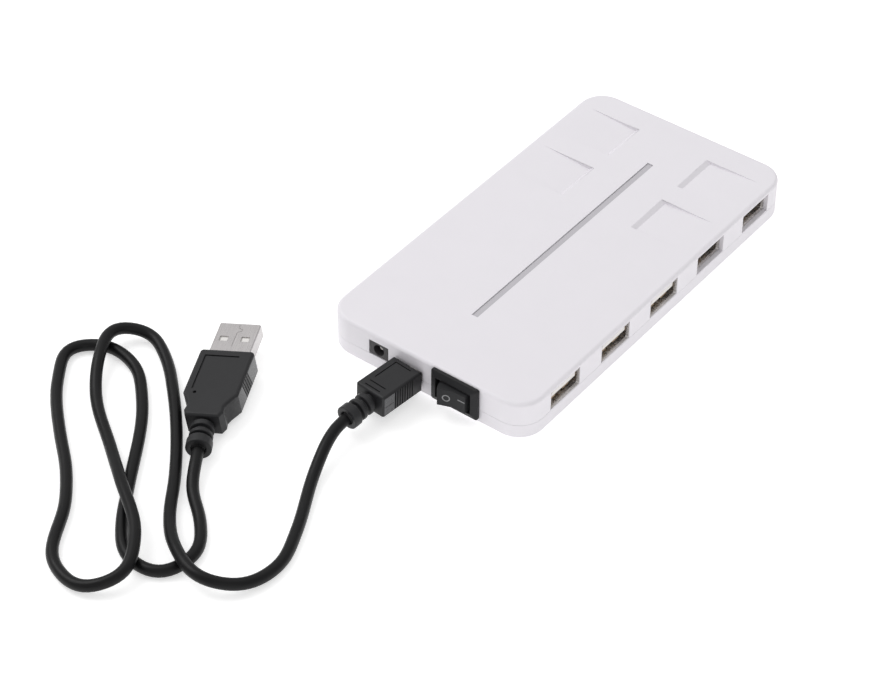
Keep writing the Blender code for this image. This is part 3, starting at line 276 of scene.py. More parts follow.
# Strain reliefs: the places of rings and grooves are shares of the length
RELIEF_ROOT = 1.5 * MM
RELIEF_GROOVE = 1.15 * MM
RELIEF_FLARE = 0.3 * MM
RELIEF_SLIM_RINGS = ((0.1, 0.3), (0.42, 0.58))
RELIEF_FAT_RING = (0.68, 0.7)
RELIEF_HOLLOW = (2.1 * MM, 1.9 * MM, 1.1 * MM)
RELIEF_ROUNDING = 0.3 * MM

# Cable
CORD_RADIUS = 1.7 * MM
CORD_FINE_STEP = 1.5 * MM
CORD_PASSES = 6
CORD_LEAD = 3.0 * MM
CORD_ROUTE_MM = [
    (-6, -96, 5.6), (-3, -105.5, 2.9), (7, -125.5, 1.75), (11, -136.5, 1.8),
    (8.5, -148.5, 2.8), (0, -154.5, 5), (-12.5, -150, 4.8), (-22.5, -141, 2.4),
    (-31, -129.5, 1.75), (-54.5, -104, 1.75), (-64, -96, 1.8), (-74.5, -91.5, 2.9),
    (-81.5, -97.5, 5), (-77, -109, 4.7), (-71, -117, 2.6), (-52, -131.5, 2.5),
    (-40, -140.5, 4.8), (-22, -154.5, 5.2), (-16.5, -165, 4.5), (-23, -173.5, 2.5),
    (-34.5, -171.5, 1.75), (-48, -153, 1.75), (-57.5, -143, 1.75), (-65.5, -136.5, 1.75),
    (-83, -119, 1.75), (-88.5, -109, 1.75), (-81.5, -102, 1.75), (-68.5, -103.5, 1.75),
    (-59.5, -111, 1.75), (-38, -140, 1.75), (-31, -150, 1.75), (-22, -158, 1.75),
    (-11.5, -157.5, 1.75), (-8.5, -146.5, 1.75), (-15.5, -137, 1.8), (-24.5, -130, 2.5),
]

# Studio. Each light has a name, a place, a width in metres and a power in watts.
FLOOR_REACH = 3.0
LIGHT_AIM = Vector((0, -0.05, 0))
LIGHTS = (
    ("top_light", (-0.3, 0.5, 1.4), 1.5, 3.0),
    ("key_light", (-1.0, -0.25, 1.25), 1.0, 9.5),
    ("side_light", (1.1, -0.9, 0.6), 0.8, 1.0),
)
CAMERA_PLACE = (0.32698, -0.48353, 0.49223)
CAMERA_HEADING = math.radians(37.44)
CAMERA_DIP = math.radians(41.513)
CAMERA_ROLL = math.radians(0.198)
CAMERA_LENS = 109.27


# ---- Materials ----

ROUGH_SPREAD = 0.06
GRAIN_DEPTH = 0.01 * MM


def add_node(tree, kind, **sockets):
    node = tree.nodes.new(kind)
    for name, value in sockets.items():
        node.inputs[name.replace("_", " ")].default_value = value
    return node


def noise_on(tree, coords, scale, detail, stretch):
    """A noise texture in the piece's own coordinates."""
    mapping = tree.nodes.new("ShaderNodeMapping")
    mapping.inputs["Scale"].default_value = stretch
    tree.links.new(coords.outputs["Object"], mapping.inputs["Vector"])
    noise = add_node(tree, "ShaderNodeTexNoise", Scale=scale, Detail=detail, Roughness=0.6)
    tree.links.new(mapping.outputs["Vector"], noise.inputs["Vector"])
    return noise


def ranged(tree, source, low, high):
    """Spreads the middle of a noise's values between two others."""
    node = add_node(tree, "ShaderNodeMapRange", From_Min=0.3, From_Max=0.7, To_Min=low, To_Max=high)
    tree.links.new(source, node.inputs["Value"])
    return node.outputs["Result"]


def surface(
    name, color, roughness, metallic=0.0, mottle=0.03, grain=0.3, grain_scale=2500.0,
    stretch=(1, 1, 1), specular=0.5,
):
    """A material with mottled colour, uneven roughness and a fine grain."""
    made = bpy.data.materials.new(name)
    made.use_nodes = True
    tree = made.node_tree
    shader = tree.nodes["Principled BSDF"]
    shader.inputs["Metallic"].default_value = metallic
    shader.inputs["Specular IOR Level"].default_value = specular
    coords = tree.nodes.new("ShaderNodeTexCoord")
    broad = noise_on(tree, coords, 90.0, 3.0, stretch)
    mix = tree.nodes.new("ShaderNodeMix")
    mix.data_type = "RGBA"
    mix.inputs["A"].default_value = (*[c * (1 - mottle) for c in color], 1)
    mix.inputs["B"].default_value = (*[min(1, c * (1 + mottle)) for c in color], 1)
    tree.links.new(ranged(tree, broad.outputs["Fac"], 0.0, 1.0), mix.inputs["Factor"])
    tree.links.new(mix.outputs["Result"], shader.inputs["Base Color"])
    smudge = noise_on(tree, coords, 260.0, 4.0, stretch)
    rough = ranged(tree, smudge.outputs["Fac"], roughness - ROUGH_SPREAD, roughness + ROUGH_SPREAD)
    tree.links.new(rough, shader.inputs["Roughness"])
    fine = noise_on(tree, coords, grain_scale, 2.0, stretch)
    bump = add_node(tree, "ShaderNodeBump", Strength=grain, Distance=GRAIN_DEPTH)
    tree.links.new(fine.outputs["Fac"], bump.inputs["Height"])
    tree.links.new(bump.outputs["Normal"], shader.inputs["Normal"])
    return made


WHITE = surface(
    "case_white", (0.79, 0.767, 0.805), 0.45, mottle=0.006, grain=0.25, specular=0.35,
)
LIGHT_PIPE = surface("light_pipe", (0.50, 0.485, 0.515), 0.35, mottle=0.02)
FOOT_RUBBER = surface("foot_rubber", (0.03, 0.03, 0.033), 0.7, mottle=0.15, grain=0.6)
CORD_BLACK = surface(
    "cord_black", (0.0045, 0.0045, 0.005), 0.38, mottle=0.12, grain=0.35, grain_scale=1500.0,
    specular=0.2,
)
STEEL = surface("plated_steel", (0.60, 0.58, 0.57), 0.27, 1.0, mottle=0.04, stretch=(1, 12, 12))
PLUG_STEEL = surface("plug_steel", (0.52, 0.50, 0.50), 0.30, 1.0, mottle=0.03, stretch=(12, 1, 12))
SPRING_STEEL = surface("spring_steel", (0.60, 0.47, 0.34), 0.4, 0.4, mottle=0.06)
BRASS = surface("brass", (0.72, 0.55, 0.27), 0.32, 1.0, mottle=0.08)
GOLD = surface("contact_gold", (0.83, 0.62, 0.30), 0.25, 1.0, mottle=0.05)
ALUMINIUM = surface("aluminium_can", (0.74, 0.75, 0.77), 0.3, 1.0, stretch=(1, 1, 14))
BOARD_GREEN = surface("board_green", (0.02, 0.16, 0.07), 0.35, mottle=0.12)
CHIP_BLACK = surface("chip_black", (0.02, 0.02, 0.021), 0.5, mottle=0.1, grain=0.5)
LED_CLEAR = surface("led_clear", (0.82, 0.88, 0.82), 0.15)
TONGUE_WHITE = surface("tongue_white", (0.78, 0.76, 0.74), 0.4)
JACK_BLACK = surface("jack_black", (0.05, 0.047, 0.05), 0.4, mottle=0.06, specular=0.25)
SATIN_BLACK = surface("satin_black", (0.017, 0.017, 0.0185), 0.42, mottle=0.08, specular=0.28)
# The plugs' side panels: smoother than satin_black, and about three times lighter in colour as a
# painted sheen.
SHEEN_PAINTED_BLACK = surface("panel_painted_sheen", (0.052, 0.052, 0.056), 0.28, mottle=0.04, grain=0.1)
SWITCH_BLACK = surface("switch_black", (0.018, 0.018, 0.0195), 0.40, mottle=0.06, specular=0.16)
WIRE_RED = surface("wire_red", (0.5, 0.03, 0.02), 0.35)
MARK_GREY = surface("mark_grey", (0.21, 0.21, 0.215), 0.45)


# ---- Shapes ----

def box(bm, low, high):
    """Adds an axis-aligned box between two corners."""
    low = Vector(low)
    high = Vector(high)
    verts = bmesh.ops.create_cube(bm, size=1.0)["verts"]
    bmesh.ops.scale(bm, vec=high - low, verts=verts)
    bmesh.ops.translate(bm, vec=(low + high) / 2, verts=verts)


def boxes(*corners):
    bm = bmesh.new()
    for low, high in corners:
        box(bm, low, high)
    return bm


def cylinder(bm, radius, low, high, x=0.0, y=0.0, segments=48, top_radius=None):
    """Adds an upright cylinder or cone between two heights."""
    verts = bmesh.ops.create_cone(
        bm, cap_ends=True, segments=segments, radius1=radius,
        radius2=radius if top_radius is None else top_radius, depth=high - low,
    )["verts"]
    bmesh.ops.translate(bm, vec=(x, y, (low + high) / 2), verts=verts)


def turned_about(bm, degrees, axis):
    bmesh.ops.rotate(bm, verts=bm.verts, matrix=Matrix.Rotation(math.radians(degrees), 3, axis))
    return bm


def bevel_edges(bm, chosen, width, segments):
    edges = [edge for edge in bm.edges if chosen(edge)]
    bmesh.ops.bevel(
        bm, geom=edges, offset=width, offset_type="OFFSET", segments=segments,
        profile=0.5, affect="EDGES", clamp_overlap=True,
    )


def along(axis):
    """A test for the edges that run along one axis."""
    def test(edge):
        run = edge.verts[1].co - edge.verts[0].co
        return abs(run[axis]) > 0.99 * run.length
    return test


def at_height(height):
    """A test for the edges that lie at one height."""
    return lambda edge: all(abs(vert.co.z - height) < 1e-6 for vert in edge.verts)


def block(low, high, radius, axis, segments=4):
    """A box whose edges along one axis are rounded."""
    bm = boxes((low, high))
    bevel_edges(bm, along(axis), radius, segments)
    return bm


def rounded_slab(half_x, half_y, low, high, radius, segments=18):
    """A slab with round corners in plan."""
    return block((-half_x, -half_y, low), (half_x, half_y, high), radius, 2, segments)


def prism(outline, low, high):
    """An outline in the XY plane, extruded from one height to another."""
    bm = bmesh.new()
    face = bm.faces.new([bm.verts.new((x, y, low)) for x, y in outline])
    made = bmesh.ops.extrude_face_region(bm, geom=[face])["geom"]
    moved = [item for item in made if isinstance(item, bmesh.types.BMVert)]
    bmesh.ops.translate(bm, vec=(0, 0, high - low), verts=moved)
    return bm


def rounded_rectangle(width, height, radius, segments=8):
    """The outline of a rectangle with round corners, centred on the origin."""
    outline = []
    for corner, (sign_x, sign_y) in enumerate(((1, 1), (-1, 1), (-1, -1), (1, -1))):
        for step in range(segments + 1):
            angle = math.radians(90 * (corner + step / segments))
            outline.append((
                sign_x * (width / 2 - radius) + radius * math.cos(angle),
                sign_y * (height / 2 - radius) + radius * math.sin(angle),
            ))
    return outline


def loft(layers):
    """A closed solid through outlines of equal length, each at its own height, bottom first."""
    bm = bmesh.new()
    loops = [[bm.verts.new((x, y, height)) for x, y in outline] for outline, height in layers]
    for low, high in zip(loops, loops[1:]):
        for i in range(len(low)):
            j = (i + 1) % len(low)
            bm.faces.new((low[i], low[j], high[j], high[i]))
    bm.faces.new(list(reversed(loops[0])))
    bm.faces.new(loops[-1])
    return bm


def turned(profile, steps=48):
    """A solid turned about Z from a profile of (radius, height) that starts and ends on the axis."""
    bm = bmesh.new()
    rings = []
    angles = [2 * math.pi * i / steps for i in range(steps)]
    for radius, height in profile[1:-1]:
        rings.append([
            bm.verts.new((radius * math.cos(angle), radius * math.sin(angle), height))
            for angle in angles
        ])
    for low, high in zip(rings, rings[1:]):
        for i in range(steps):
            j = (i + 1) % steps
            bm.faces.new((low[i], low[j], high[j], high[i]))
    bm.faces.new(rings[0])
    bm.faces.new(rings[-1])
    return bm


def smooth_profile(points, radius, steps):
    """Rounds the corners of an open profile of (r, z) points."""
    out = [points[0]]
    for before, here, after in zip(points, points[1:], points[2:]):
        p0, p1, p2 = Vector(before), Vector(here), Vector(after)
        reach = min(radius, (p0 - p1).length * 0.45, (p2 - p1).length * 0.45)
        start = p1 + (p0 - p1).normalized() * reach
        stop = p1 + (p2 - p1).normalized() * reach
        for step in range(steps + 1):
            t = step / steps
            out.append(tuple((1 - t) ** 2 * start + 2 * t * (1 - t) * p1 + t * t * stop))
    out.append(points[-1])
    return out


def mesh_of(bm, name="shape"):
    mesh = bpy.data.meshes.new(name)
    bmesh.ops.recalc_face_normals(bm, faces=bm.faces)
    bm.to_mesh(mesh)
    bm.free()
    return mesh


def evaluated(obj):
    bpy.context.view_layer.update()
    graph = bpy.context.evaluated_depsgraph_get()
    return bpy.data.meshes.new_from_object(obj.evaluated_get(graph))


def carve(bm, *steps):
    """The first shape after each (operation, shape) in turn: DIFFERENCE or UNION."""
    obj = bpy.data.objects.new("carved", mesh_of(bm))
    bpy.context.scene.collection.objects.link(obj)
    helpers = []
    for operation, shape in steps:
        helper = bpy.data.objects.new("helper", mesh_of(shape))
        bpy.context.scene.collection.objects.link(helper)
        helpers.append(helper)
        modifier = obj.modifiers.new("boolean", "BOOLEAN")
        modifier.operation = operation
        modifier.object = helper
        modifier.solver = "EXACT"
    mesh = evaluated(obj)
    for helper in [obj] + helpers:
        bpy.data.objects.remove(helper)
    return mesh


def piece(
    name, shape, finish, body, replaces, place, edge=0.0, angle=30.0, segments=2,
    panels=(),
):
    """Adds one visible piece. Its sharp edges are rounded by edge, and it rides on a body.

    Its side faces (+X and -X) between each pair of Y values in panels are made smoother, and their
    colour is lightened as a painted sheen.
    """
    mesh = mesh_of(shape, name) if isinstance(shape, bmesh.types.BMesh) else shape
    obj = bpy.data.objects.new(name, mesh)
    bpy.context.scene.collection.objects.link(obj)
    mesh.name = name
    mesh.materials.clear()
    mesh.materials.append(finish)
    if edge:
        bevel = obj.modifiers.new("bevel", "BEVEL")
        bevel.width = edge
        bevel.segments = segments
        bevel.limit_method = "ANGLE"
        bevel.angle_limit = math.radians(angle)
        obj.data = evaluated(obj)
        obj.modifiers.clear()
    if panels:
        # Side faces within the panels get the lighter black, a painted sheen.
        obj.data.materials.append(SHEEN_PAINTED_BLACK)
        for face in obj.data.polygons:
            within = any(low < face.center.y < high for low, high in panels)
            if within and abs(face.normal.x) > 0.8:
                face.material_index = 1
    obj.data.shade_smooth()
    obj.data.set_sharp_from_angle(angle=math.radians(40))
    weighted = obj.modifiers.new("weighted", "WEIGHTED_NORMAL")
    weighted.keep_sharp = True
    weighted.weight = 60
    obj.matrix_world = place
    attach(obj, body)
    if replaces:
        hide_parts(*replaces)


# ---- Case ----

def at_case():
    return Matrix.Translation((0, CASE_Y, 0))


def port_places():
    """(side, number, sign of x, y from the case's middle, inset) of each USB-A socket."""
    for side, sign in (("right", 1), ("left", -1)):
        for number in range(1, 6):
            y = PORT_SHIFT + (number - 3) * PORT_PITCH
            yield side, number, sign, y, SHELL_SUNK if number in SUNK_PORTS else SHELL_FLUSH


def corners(x, y):
    return [(sign_x * x, sign_y * y) for sign_x in (-1, 1) for sign_y in (-1, 1)]


def socket_windows():
    half_width = SHELL_WIDTH / 2 + WINDOW_CLEARANCE
    half_height = SHELL_HEIGHT / 2 + WINDOW_CLEARANCE
    bm = bmesh.new()
    for _, _, sign, y, _ in port_places():
        near, far = sorted((sign * (SIDE - WALL - 2 * MM), sign * (SIDE + 2 * MM)))
        box(
            bm, (near, y - half_width, PORT_Z - half_height),
            (far, y + half_width, PORT_Z + half_height),
        )
    return bm


def front_windows(with_jack):
    front = -HALF_LENGTH
    spans = [
        (MINI_X, MINI_WIDTH, MINI_Z - MINI_HEIGHT / 2, MINI_Z + MINI_HEIGHT / 2),
        (SWITCH_X, SWITCH_BODY[0], SWITCH_Z - SWITCH_BODY[1] / 2, SWITCH_Z + SWITCH_BODY[1] / 2),
    ]
    if with_jack:
        spans.append((JACK_X, JACK_WIDTH, SEAM - MM, JACK_Z[1]))
    bm = bmesh.new()
    for x, width, low, high in spans:
        half = width / 2 + WINDOW_CLEARANCE
        box(
            bm, (x - half, front - 2 * MM, low - WINDOW_CLEARANCE),
            (x + half, front + WALL + MM, high + WINDOW_CLEARANCE),
        )
    return bm


def finger_ramps():
    """Four shallow ramps, deepest beside the light bar and running out towards the sides."""
    rise = RAMP_DEPTH / (RAMP_END_X - RAMP_DEEP_X)
    over = 3 * MM
    profile = [
        (RAMP_WALL_X, 0.0), (RAMP_DEEP_X, -RAMP_DEPTH), (RAMP_END_X + over, rise * over),
        (RAMP_END_X + over, 2 * MM), (RAMP_WALL_X, 2 * MM),
    ]
    for _, number, sign, y, _ in port_places():
        if number in SUNK_PORTS:
            bm = prism([(sign * x, z) for x, z in profile], -RAMP_WIDTH / 2, RAMP_WIDTH / 2)
            turned_about(bm, 90, "X")
            bmesh.ops.translate(bm, verts=bm.verts, vec=(0, y, CASE_TOP))
            yield bm


def make_top_cover():
    bm = rounded_slab(SIDE, HALF_LENGTH, SEAM + SEAM_GAP / 2, CASE_TOP, CORNER_RADIUS)
    bevel_edges(bm, at_height(CASE_TOP), TOP_FILLET, 8)
    cavity = rounded_slab(SIDE - WALL, HALF_LENGTH - WALL, 0.0, CEILING, CORNER_RADIUS - WALL, 8)
    pillars = bmesh.new()
    holes = bmesh.new()
    for x, y in corners(SCREW_X, SCREW_Y):
        cylinder(pillars, PILLAR_RADIUS, PILLAR_LOW, CEILING + OVERLAP, x, y, 24)
        cylinder(holes, SCREW_HOLE_RADIUS, 0.0, SCREW_HOLE_TOP, x, y, 24)
    for sign in (-1, 1):
        near, far = sorted(sign * x for x in PAD_X)
        box(pillars, (near, PAD_Y[0], PAD_LOW), (far, PAD_Y[1], CEILING + OVERLAP))
    bar_y = BAR_Y - CASE_Y
    box(
        holes, (-BAR_WIDTH / 2, bar_y - BAR_LENGTH / 2, CEILING - MM),
        (BAR_WIDTH / 2, bar_y + BAR_LENGTH / 2, CASE_TOP + MM),
    )
    mesh = carve(
        bm, ("DIFFERENCE", cavity), ("UNION", pillars), ("DIFFERENCE", holes),
        ("DIFFERENCE", socket_windows()), ("DIFFERENCE", front_windows(True)),
        *[("DIFFERENCE", ramp) for ramp in finger_ramps()],
    )
    piece("visual_top_cover", mesh, WHITE, "hub", ["top_cover"], at_case(), EDGE)


def make_bottom_cover():
    bm = rounded_slab(SIDE, HALF_LENGTH, CASE_BOTTOM, SEAM - SEAM_GAP / 2, CORNER_RADIUS)
    bevel_edges(bm, at_height(CASE_BOTTOM), BOTTOM_FILLET, 6)
    cavity = rounded_slab(
        SIDE - WALL, HALF_LENGTH - WALL, FLOOR_TOP, 10 * MM, CORNER_RADIUS - WALL, 8,
    )
    posts = bmesh.new()
    recesses = bmesh.new()
    holes = bmesh.new()
    for x, y in corners(SCREW_X, SCREW_Y):
        cylinder(posts, BOSS_RADIUS, FLOOR_TOP - 2 * OVERLAP, BOSS_TOP, x, y, 32)
        cylinder(recesses, SCREW_RECESS_RADIUS, 0.0, SCREW_RECESS_TOP, x, y, 40)
        cylinder(holes, SCREW_HOLE_RADIUS, 0.0, BOSS_HOLE_TOP, x, y, 24)
    for x, y in corners(POST_X, POST_Y):
        cylinder(posts, POST_RADIUS, FLOOR_TOP - 2 * OVERLAP, POST_TOP, x, y, 24)
    for x, y in corners(FOOT_X, FOOT_Y):
        cylinder(recesses, FOOT_RADIUS + GAP, 0.0, CASE_BOTTOM + FOOT_RECESS_DEPTH, x, y)
    mesh = carve(
        bm, ("DIFFERENCE", cavity), ("UNION", posts), ("DIFFERENCE", recesses),
        ("DIFFERENCE", holes), ("DIFFERENCE", front_windows(False)),
    )
    piece(
        "visual_bottom_cover", mesh, WHITE, "hub", ["bottom_cover"], at_case(), EDGE,
    )


def make_light_bar():
    """A T-shaped light pipe: the rib fills the slot in the roof and the flange stays under it."""
    half_rib = BAR_WIDTH / 2 - BAR_CLEARANCE
    half_flange = BAR_FLANGE_HALF_WIDTH
    flange_top = CEILING - GAP
    flange_low = flange_top - BAR_FLANGE_HEIGHT
    outline = [
        (-half_flange, flange_low), (half_flange, flange_low), (half_flange, flange_top),
        (half_rib, flange_top), (half_rib, BAR_TOP), (-half_rib, BAR_TOP),
        (-half_rib, flange_top), (-half_flange, flange_top),
    ]
    half_length = BAR_LENGTH / 2 - BAR_CLEARANCE
    bm = turned_about(prism(outline, -half_length, half_length), 90, "X")
    piece(
        "visual_light_bar", bm, LIGHT_PIPE, "hub", ["light_bar"], Matrix.Translation((0, BAR_Y, 0)),
        0.1 * MM,
    )


def make_feet_and_screws():
    for number, (x, y) in enumerate(corners(FOOT_X, FOOT_Y), 1):
        bm = bmesh.new()
        cylinder(bm, FOOT_RADIUS, 0.0, FOOT_HEIGHT)
        piece(
            f"visual_foot_{number}", bm, FOOT_RUBBER, "hub", [f"foot_{number}"],
            Matrix.Translation((x, CASE_Y + y, 0)), 0.25 * MM, segments=4,
        )
    for number, (x, y) in enumerate(corners(SCREW_X, SCREW_Y), 1):
        head = bmesh.new()
        cylinder(head, SCREW_HEAD_RADIUS, *SCREW_HEAD_Z)
        shank = bmesh.new()
        cylinder(
            shank, SCREW_SHANK_RADIUS, *SCREW_SHANK_Z, segments=24, top_radius=SCREW_POINT_RADIUS,
        )
        slots = [
            boxes(((-a, -b, SCREW_CROSS_Z[0]), (a, b, SCREW_CROSS_Z[1])))
            for a, b in (SCREW_CROSS, SCREW_CROSS[::-1])
        ]
        mesh = carve(head, ("UNION", shank), *[("DIFFERENCE", slot) for slot in slots])
        piece(
            f"visual_screw_{number}", mesh, STEEL, "hub", [f"case_screw_{number}"],
            Matrix.Translation((x, CASE_Y + y, 0)), 0.1 * MM,
        )


# ---- Sockets ----

def spring(bm, y, side):
    """A leaf spring of a USB-A socket: it is bent into the socket and out again at its tip."""
    half = SPRING_HALF_WIDTH
    thick = SPRING_HALF_THICKNESS
    wall = side * (SHELL_HEIGHT / 2 - SHELL_WALL / 2)
    rows = []
    for x, inward in SPRING_PATH_MM:
        z = wall - side * inward * MM
        rows.append([
            bm.verts.new((x * MM, y + dy, z + dz))
            for dy, dz in ((-half, -thick), (half, -thick), (half, thick), (-half, thick))
        ])
    for a, b in zip(rows, rows[1:]):
        for i in range(4):
            j = (i + 1) % 4
            bm.faces.new((a[i], a[j], b[j], b[i]))
    bm.faces.new(rows[0])
    bm.faces.new(rows[-1])


def make_usb_sockets():
    """Each socket is modelled with its mouth at the origin, facing +X."""
    half_width = SHELL_WIDTH / 2
    half_height = SHELL_HEIGHT / 2
    outer = block(
        (-SHELL_DEPTH, -half_width, -half_height), (0, half_width, half_height),
        SHELL_RADIUS, 0, segments=6,
    )
    inner = block(
        (-SHELL_DEPTH + SHELL_WALL, -half_width + SHELL_WALL, -half_height + SHELL_WALL),
        (MM, half_width - SHELL_WALL, half_height - SHELL_WALL), SHELL_RADIUS - SHELL_WALL, 0,
    )
    half_slot = SPRING_SLOT_HALF_WIDTH
    slots = boxes(*[
        (
            (SPRING_SLOT_X[0], y - half_slot, -half_height - MM),
            (SPRING_SLOT_X[1], y + half_slot, half_height + MM),
        )
        for y in SPRING_YS
    ])
    wall, lip = 2 * SHELL_WALL, 2 * LIP_WALL
    throat = rounded_rectangle(SHELL_WIDTH - wall, SHELL_HEIGHT - wall, 0.3 * MM)
    mouth = rounded_rectangle(SHELL_WIDTH - lip, SHELL_HEIGHT - lip, 0.5 * MM)
    flare = turned_about(loft([(throat, -LIP_DEPTH), (mouth, 0.02 * MM)]), 90, "Z")
    turned_about(flare, 90, "Y")
    shell_mesh = carve(outer, ("DIFFERENCE", inner), ("DIFFERENCE", slots), ("DIFFERENCE", flare))
    springs = bmesh.new()
    for y in SPRING_YS:
        for side in (-1, 1):
            spring(springs, y, side)
    spring_mesh = mesh_of(springs)
    rear = -SHELL_DEPTH + SHELL_WALL + OVERLAP
    front = rear + TONGUE_ROOT
    high = half_height - SHELL_WALL - OVERLAP
    outline = [
        (rear, -high), (front, -high), (front, TONGUE_LOW), (-TONGUE_INSET, TONGUE_LOW),
        (-TONGUE_INSET, TONGUE_HIGH), (front, TONGUE_HIGH), (front, high), (rear, high),
    ]
    tongue = turned_about(prism(outline, -TONGUE_WIDTH / 2, TONGUE_WIDTH / 2), 90, "X")
    tongue_mesh = mesh_of(tongue)
    contact_mesh = mesh_of(boxes(*[
        (
            (CONTACT_X[0], y - CONTACT_HALF_WIDTH, TONGUE_LOW - 0.12 * MM),
            (CONTACT_X[1], y + CONTACT_HALF_WIDTH, TONGUE_LOW + 0.05 * MM),
        )
        for y in CONTACT_YS
    ]))
    for side, number, sign, y, inset in port_places():
        place = Matrix.Translation((sign * (SIDE - inset), CASE_Y + y, PORT_Z))
        if sign < 0:
            place = place @ Matrix.Rotation(math.pi, 4, "Z")
        tag = f"{side}_{number}"
        piece(
            f"visual_socket_shell_{tag}", shell_mesh.copy(), STEEL, "hub",
            [f"usb_socket_shell_{tag}"], place, 0.08 * MM,
        )
        piece(
            f"socket_springs_{tag}", spring_mesh.copy(), SPRING_STEEL, "hub", (), place,
        )
        piece(
            f"visual_socket_tongue_{tag}", tongue_mesh.copy(), TONGUE_WHITE, "hub",
            [f"usb_socket_tongue_{tag}"], place, 0.12 * MM,
        )
        piece(
            f"socket_contacts_{tag}", contact_mesh.copy(), GOLD, "hub", (), place,
        )


def make_jack():
    half = JACK_WIDTH / 2
    middle = (JACK_Z[0] + JACK_Z[1]) / 2
    start = FRONT + OVERLAP
    to_front = Matrix.Translation((JACK_X, start, middle)) @ Matrix.Rotation(math.radians(90), 4, "X")
    height = (JACK_Z[1] - JACK_Z[0]) / 2
    body = boxes(((-half, -height, -JACK_DEPTH), (half, height, 0)))
    hole = bmesh.new()
    cylinder(hole, JACK_HOLE_RADIUS, -JACK_HOLE_DEPTH, MM)
    mesh = carve(body, ("DIFFERENCE", hole))
    piece(
        "visual_dc_jack", mesh, JACK_BLACK, "hub", ["dc_jack_body"], to_front, 0.15 * MM,
        segments=3,
    )
    pin = bmesh.new()
    cylinder(pin, JACK_PIN_RADIUS, -JACK_HOLE_DEPTH + GAP, -JACK_PIN_START, segments=32)
    piece(
        "visual_dc_pin", pin, STEEL, "hub", ["dc_jack_pin"], to_front, 0.2 * MM,
        segments=4,
    )


def mini_outline(width, height):
    """The mini-B section: a rectangle whose lower corners are cut back in a step."""
    half_width = width / 2
    half_height = height / 2
    step_z = -half_height * MINI_STEP_SHARE
    return [
        (-half_width + MINI_STEP, -half_height), (half_width - MINI_STEP, -half_height),
        (half_width - MINI_STEP, step_z), (half_width, 0.0),
        (half_width, half_height), (-half_width, half_height),
        (-half_width, 0.0), (-half_width + MINI_STEP, step_z),
    ]


def mini_tube(outer, inner, front, back, closed_back):
    """A thin tube of mini-B section along Y, from front to back."""
    end = back - GAP if closed_back else back + MM
    tube = turned_about(prism(mini_outline(*outer), -back, -front), 90, "X")
    hollow = turned_about(prism(mini_outline(*inner), -end, -front + MM), 90, "X")
    return carve(tube, ("DIFFERENCE", hollow))


def make_mini_socket():
    wall = 2 * SHELL_WALL
    mesh = mini_tube(
        (MINI_WIDTH, MINI_HEIGHT), (MINI_WIDTH - wall, MINI_HEIGHT - wall),
        MINI_INSET, MINI_INSET + MINI_DEPTH, True,
    )
    place = Matrix.Translation((MINI_X, FRONT, MINI_Z))
    piece(
        "visual_mini_socket", mesh, STEEL, "hub", ["mini_usb_socket_shell"], place, 0.06 * MM,
    )


# ---- Rocker switch ----

def make_switch_body():
    """A bezel that slopes up to the rocker, with the contact chamber behind it."""
    outer = rounded_rectangle(BEZEL_WIDTH, BEZEL_HEIGHT, BEZEL_CORNER)
    soft = rounded_rectangle(BEZEL_WIDTH - 0.16 * MM, BEZEL_HEIGHT - 0.16 * MM, BEZEL_CORNER)
    inner = rounded_rectangle(
        BEZEL_WIDTH - 2 * BEZEL_BORDER + BEZEL_RIM, BEZEL_HEIGHT - 2 * BEZEL_BORDER + BEZEL_RIM,
        SWITCH_HOLE_RADIUS,
    )
    bm = loft([
        (outer, OVERLAP), (outer, BEZEL_EDGE - 0.08 * MM), (soft, BEZEL_EDGE + 0.02 * MM),
        (inner, BEZEL_EDGE + BEZEL_RISE),
    ])
    half_x, half_y, depth = SWITCH_BODY[0] / 2, SWITCH_BODY[1] / 2, SWITCH_BODY[2]
    chamber = boxes(((-half_x, -half_y, -depth), (half_x, half_y, 0.5 * MM)))
    hole_x = BEZEL_WIDTH / 2 - BEZEL_BORDER
    hole_y = BEZEL_HEIGHT / 2 - BEZEL_BORDER
    cavity = boxes(((-hole_x, -hole_y, -SWITCH_CAVITY_DEPTH), (hole_x, hole_y, 5 * MM)))
    pivots = bmesh.new()
    reach = hole_y + PIVOT_HOLE_REACH
    cylinder(pivots, PIVOT_HOLE_RADIUS, -reach, reach, segments=24)
    turned_about(pivots, 90, "X")
    bmesh.ops.translate(
        pivots, verts=pivots.verts, vec=(0, 0, BEZEL_EDGE + BEZEL_RISE - ROCKER_PIVOT_DEPTH)
    )
    slot_x, slot_y = TERMINAL_SLOT[0] / 2, TERMINAL_SLOT[1] / 2
    slots = boxes(*[
        ((x - slot_x, -slot_y, -depth - MM), (x + slot_x, slot_y, -SWITCH_CAVITY_DEPTH + MM))
        for x in TERMINAL_XS
    ])
    mesh = carve(
        bm, ("UNION", chamber), ("DIFFERENCE", cavity), ("DIFFERENCE", pivots), ("DIFFERENCE", slots)
    )
    outwards = Matrix.Rotation(math.radians(90), 4, "X")
    place = Matrix.Translation((SWITCH_X, FRONT, SWITCH_Z)) @ outwards
    piece(
        "visual_switch_body", mesh, SWITCH_BLACK, "hub", ["switch_body"], place, 0.1 * MM,
    )


def rocker_outline():
    """Seen along the pivot, outwards is -Y: two faces that meet in a shallow V, and steep ends."""
    lower = [(4.4 * MM, -0.4 * MM), (2.6 * MM, 1.4 * MM), (1.0 * MM, 1.6 * MM)]
    nub = [(0.8 * MM, 4.0 * MM), (0.4 * MM, 4.4 * MM)]
    right = [(0.0, -ROCKER_FACE), ROCKER_TIP, ROCKER_END] + lower + nub
    return right + [(-x, y) for x, y in reversed(right[1:])]


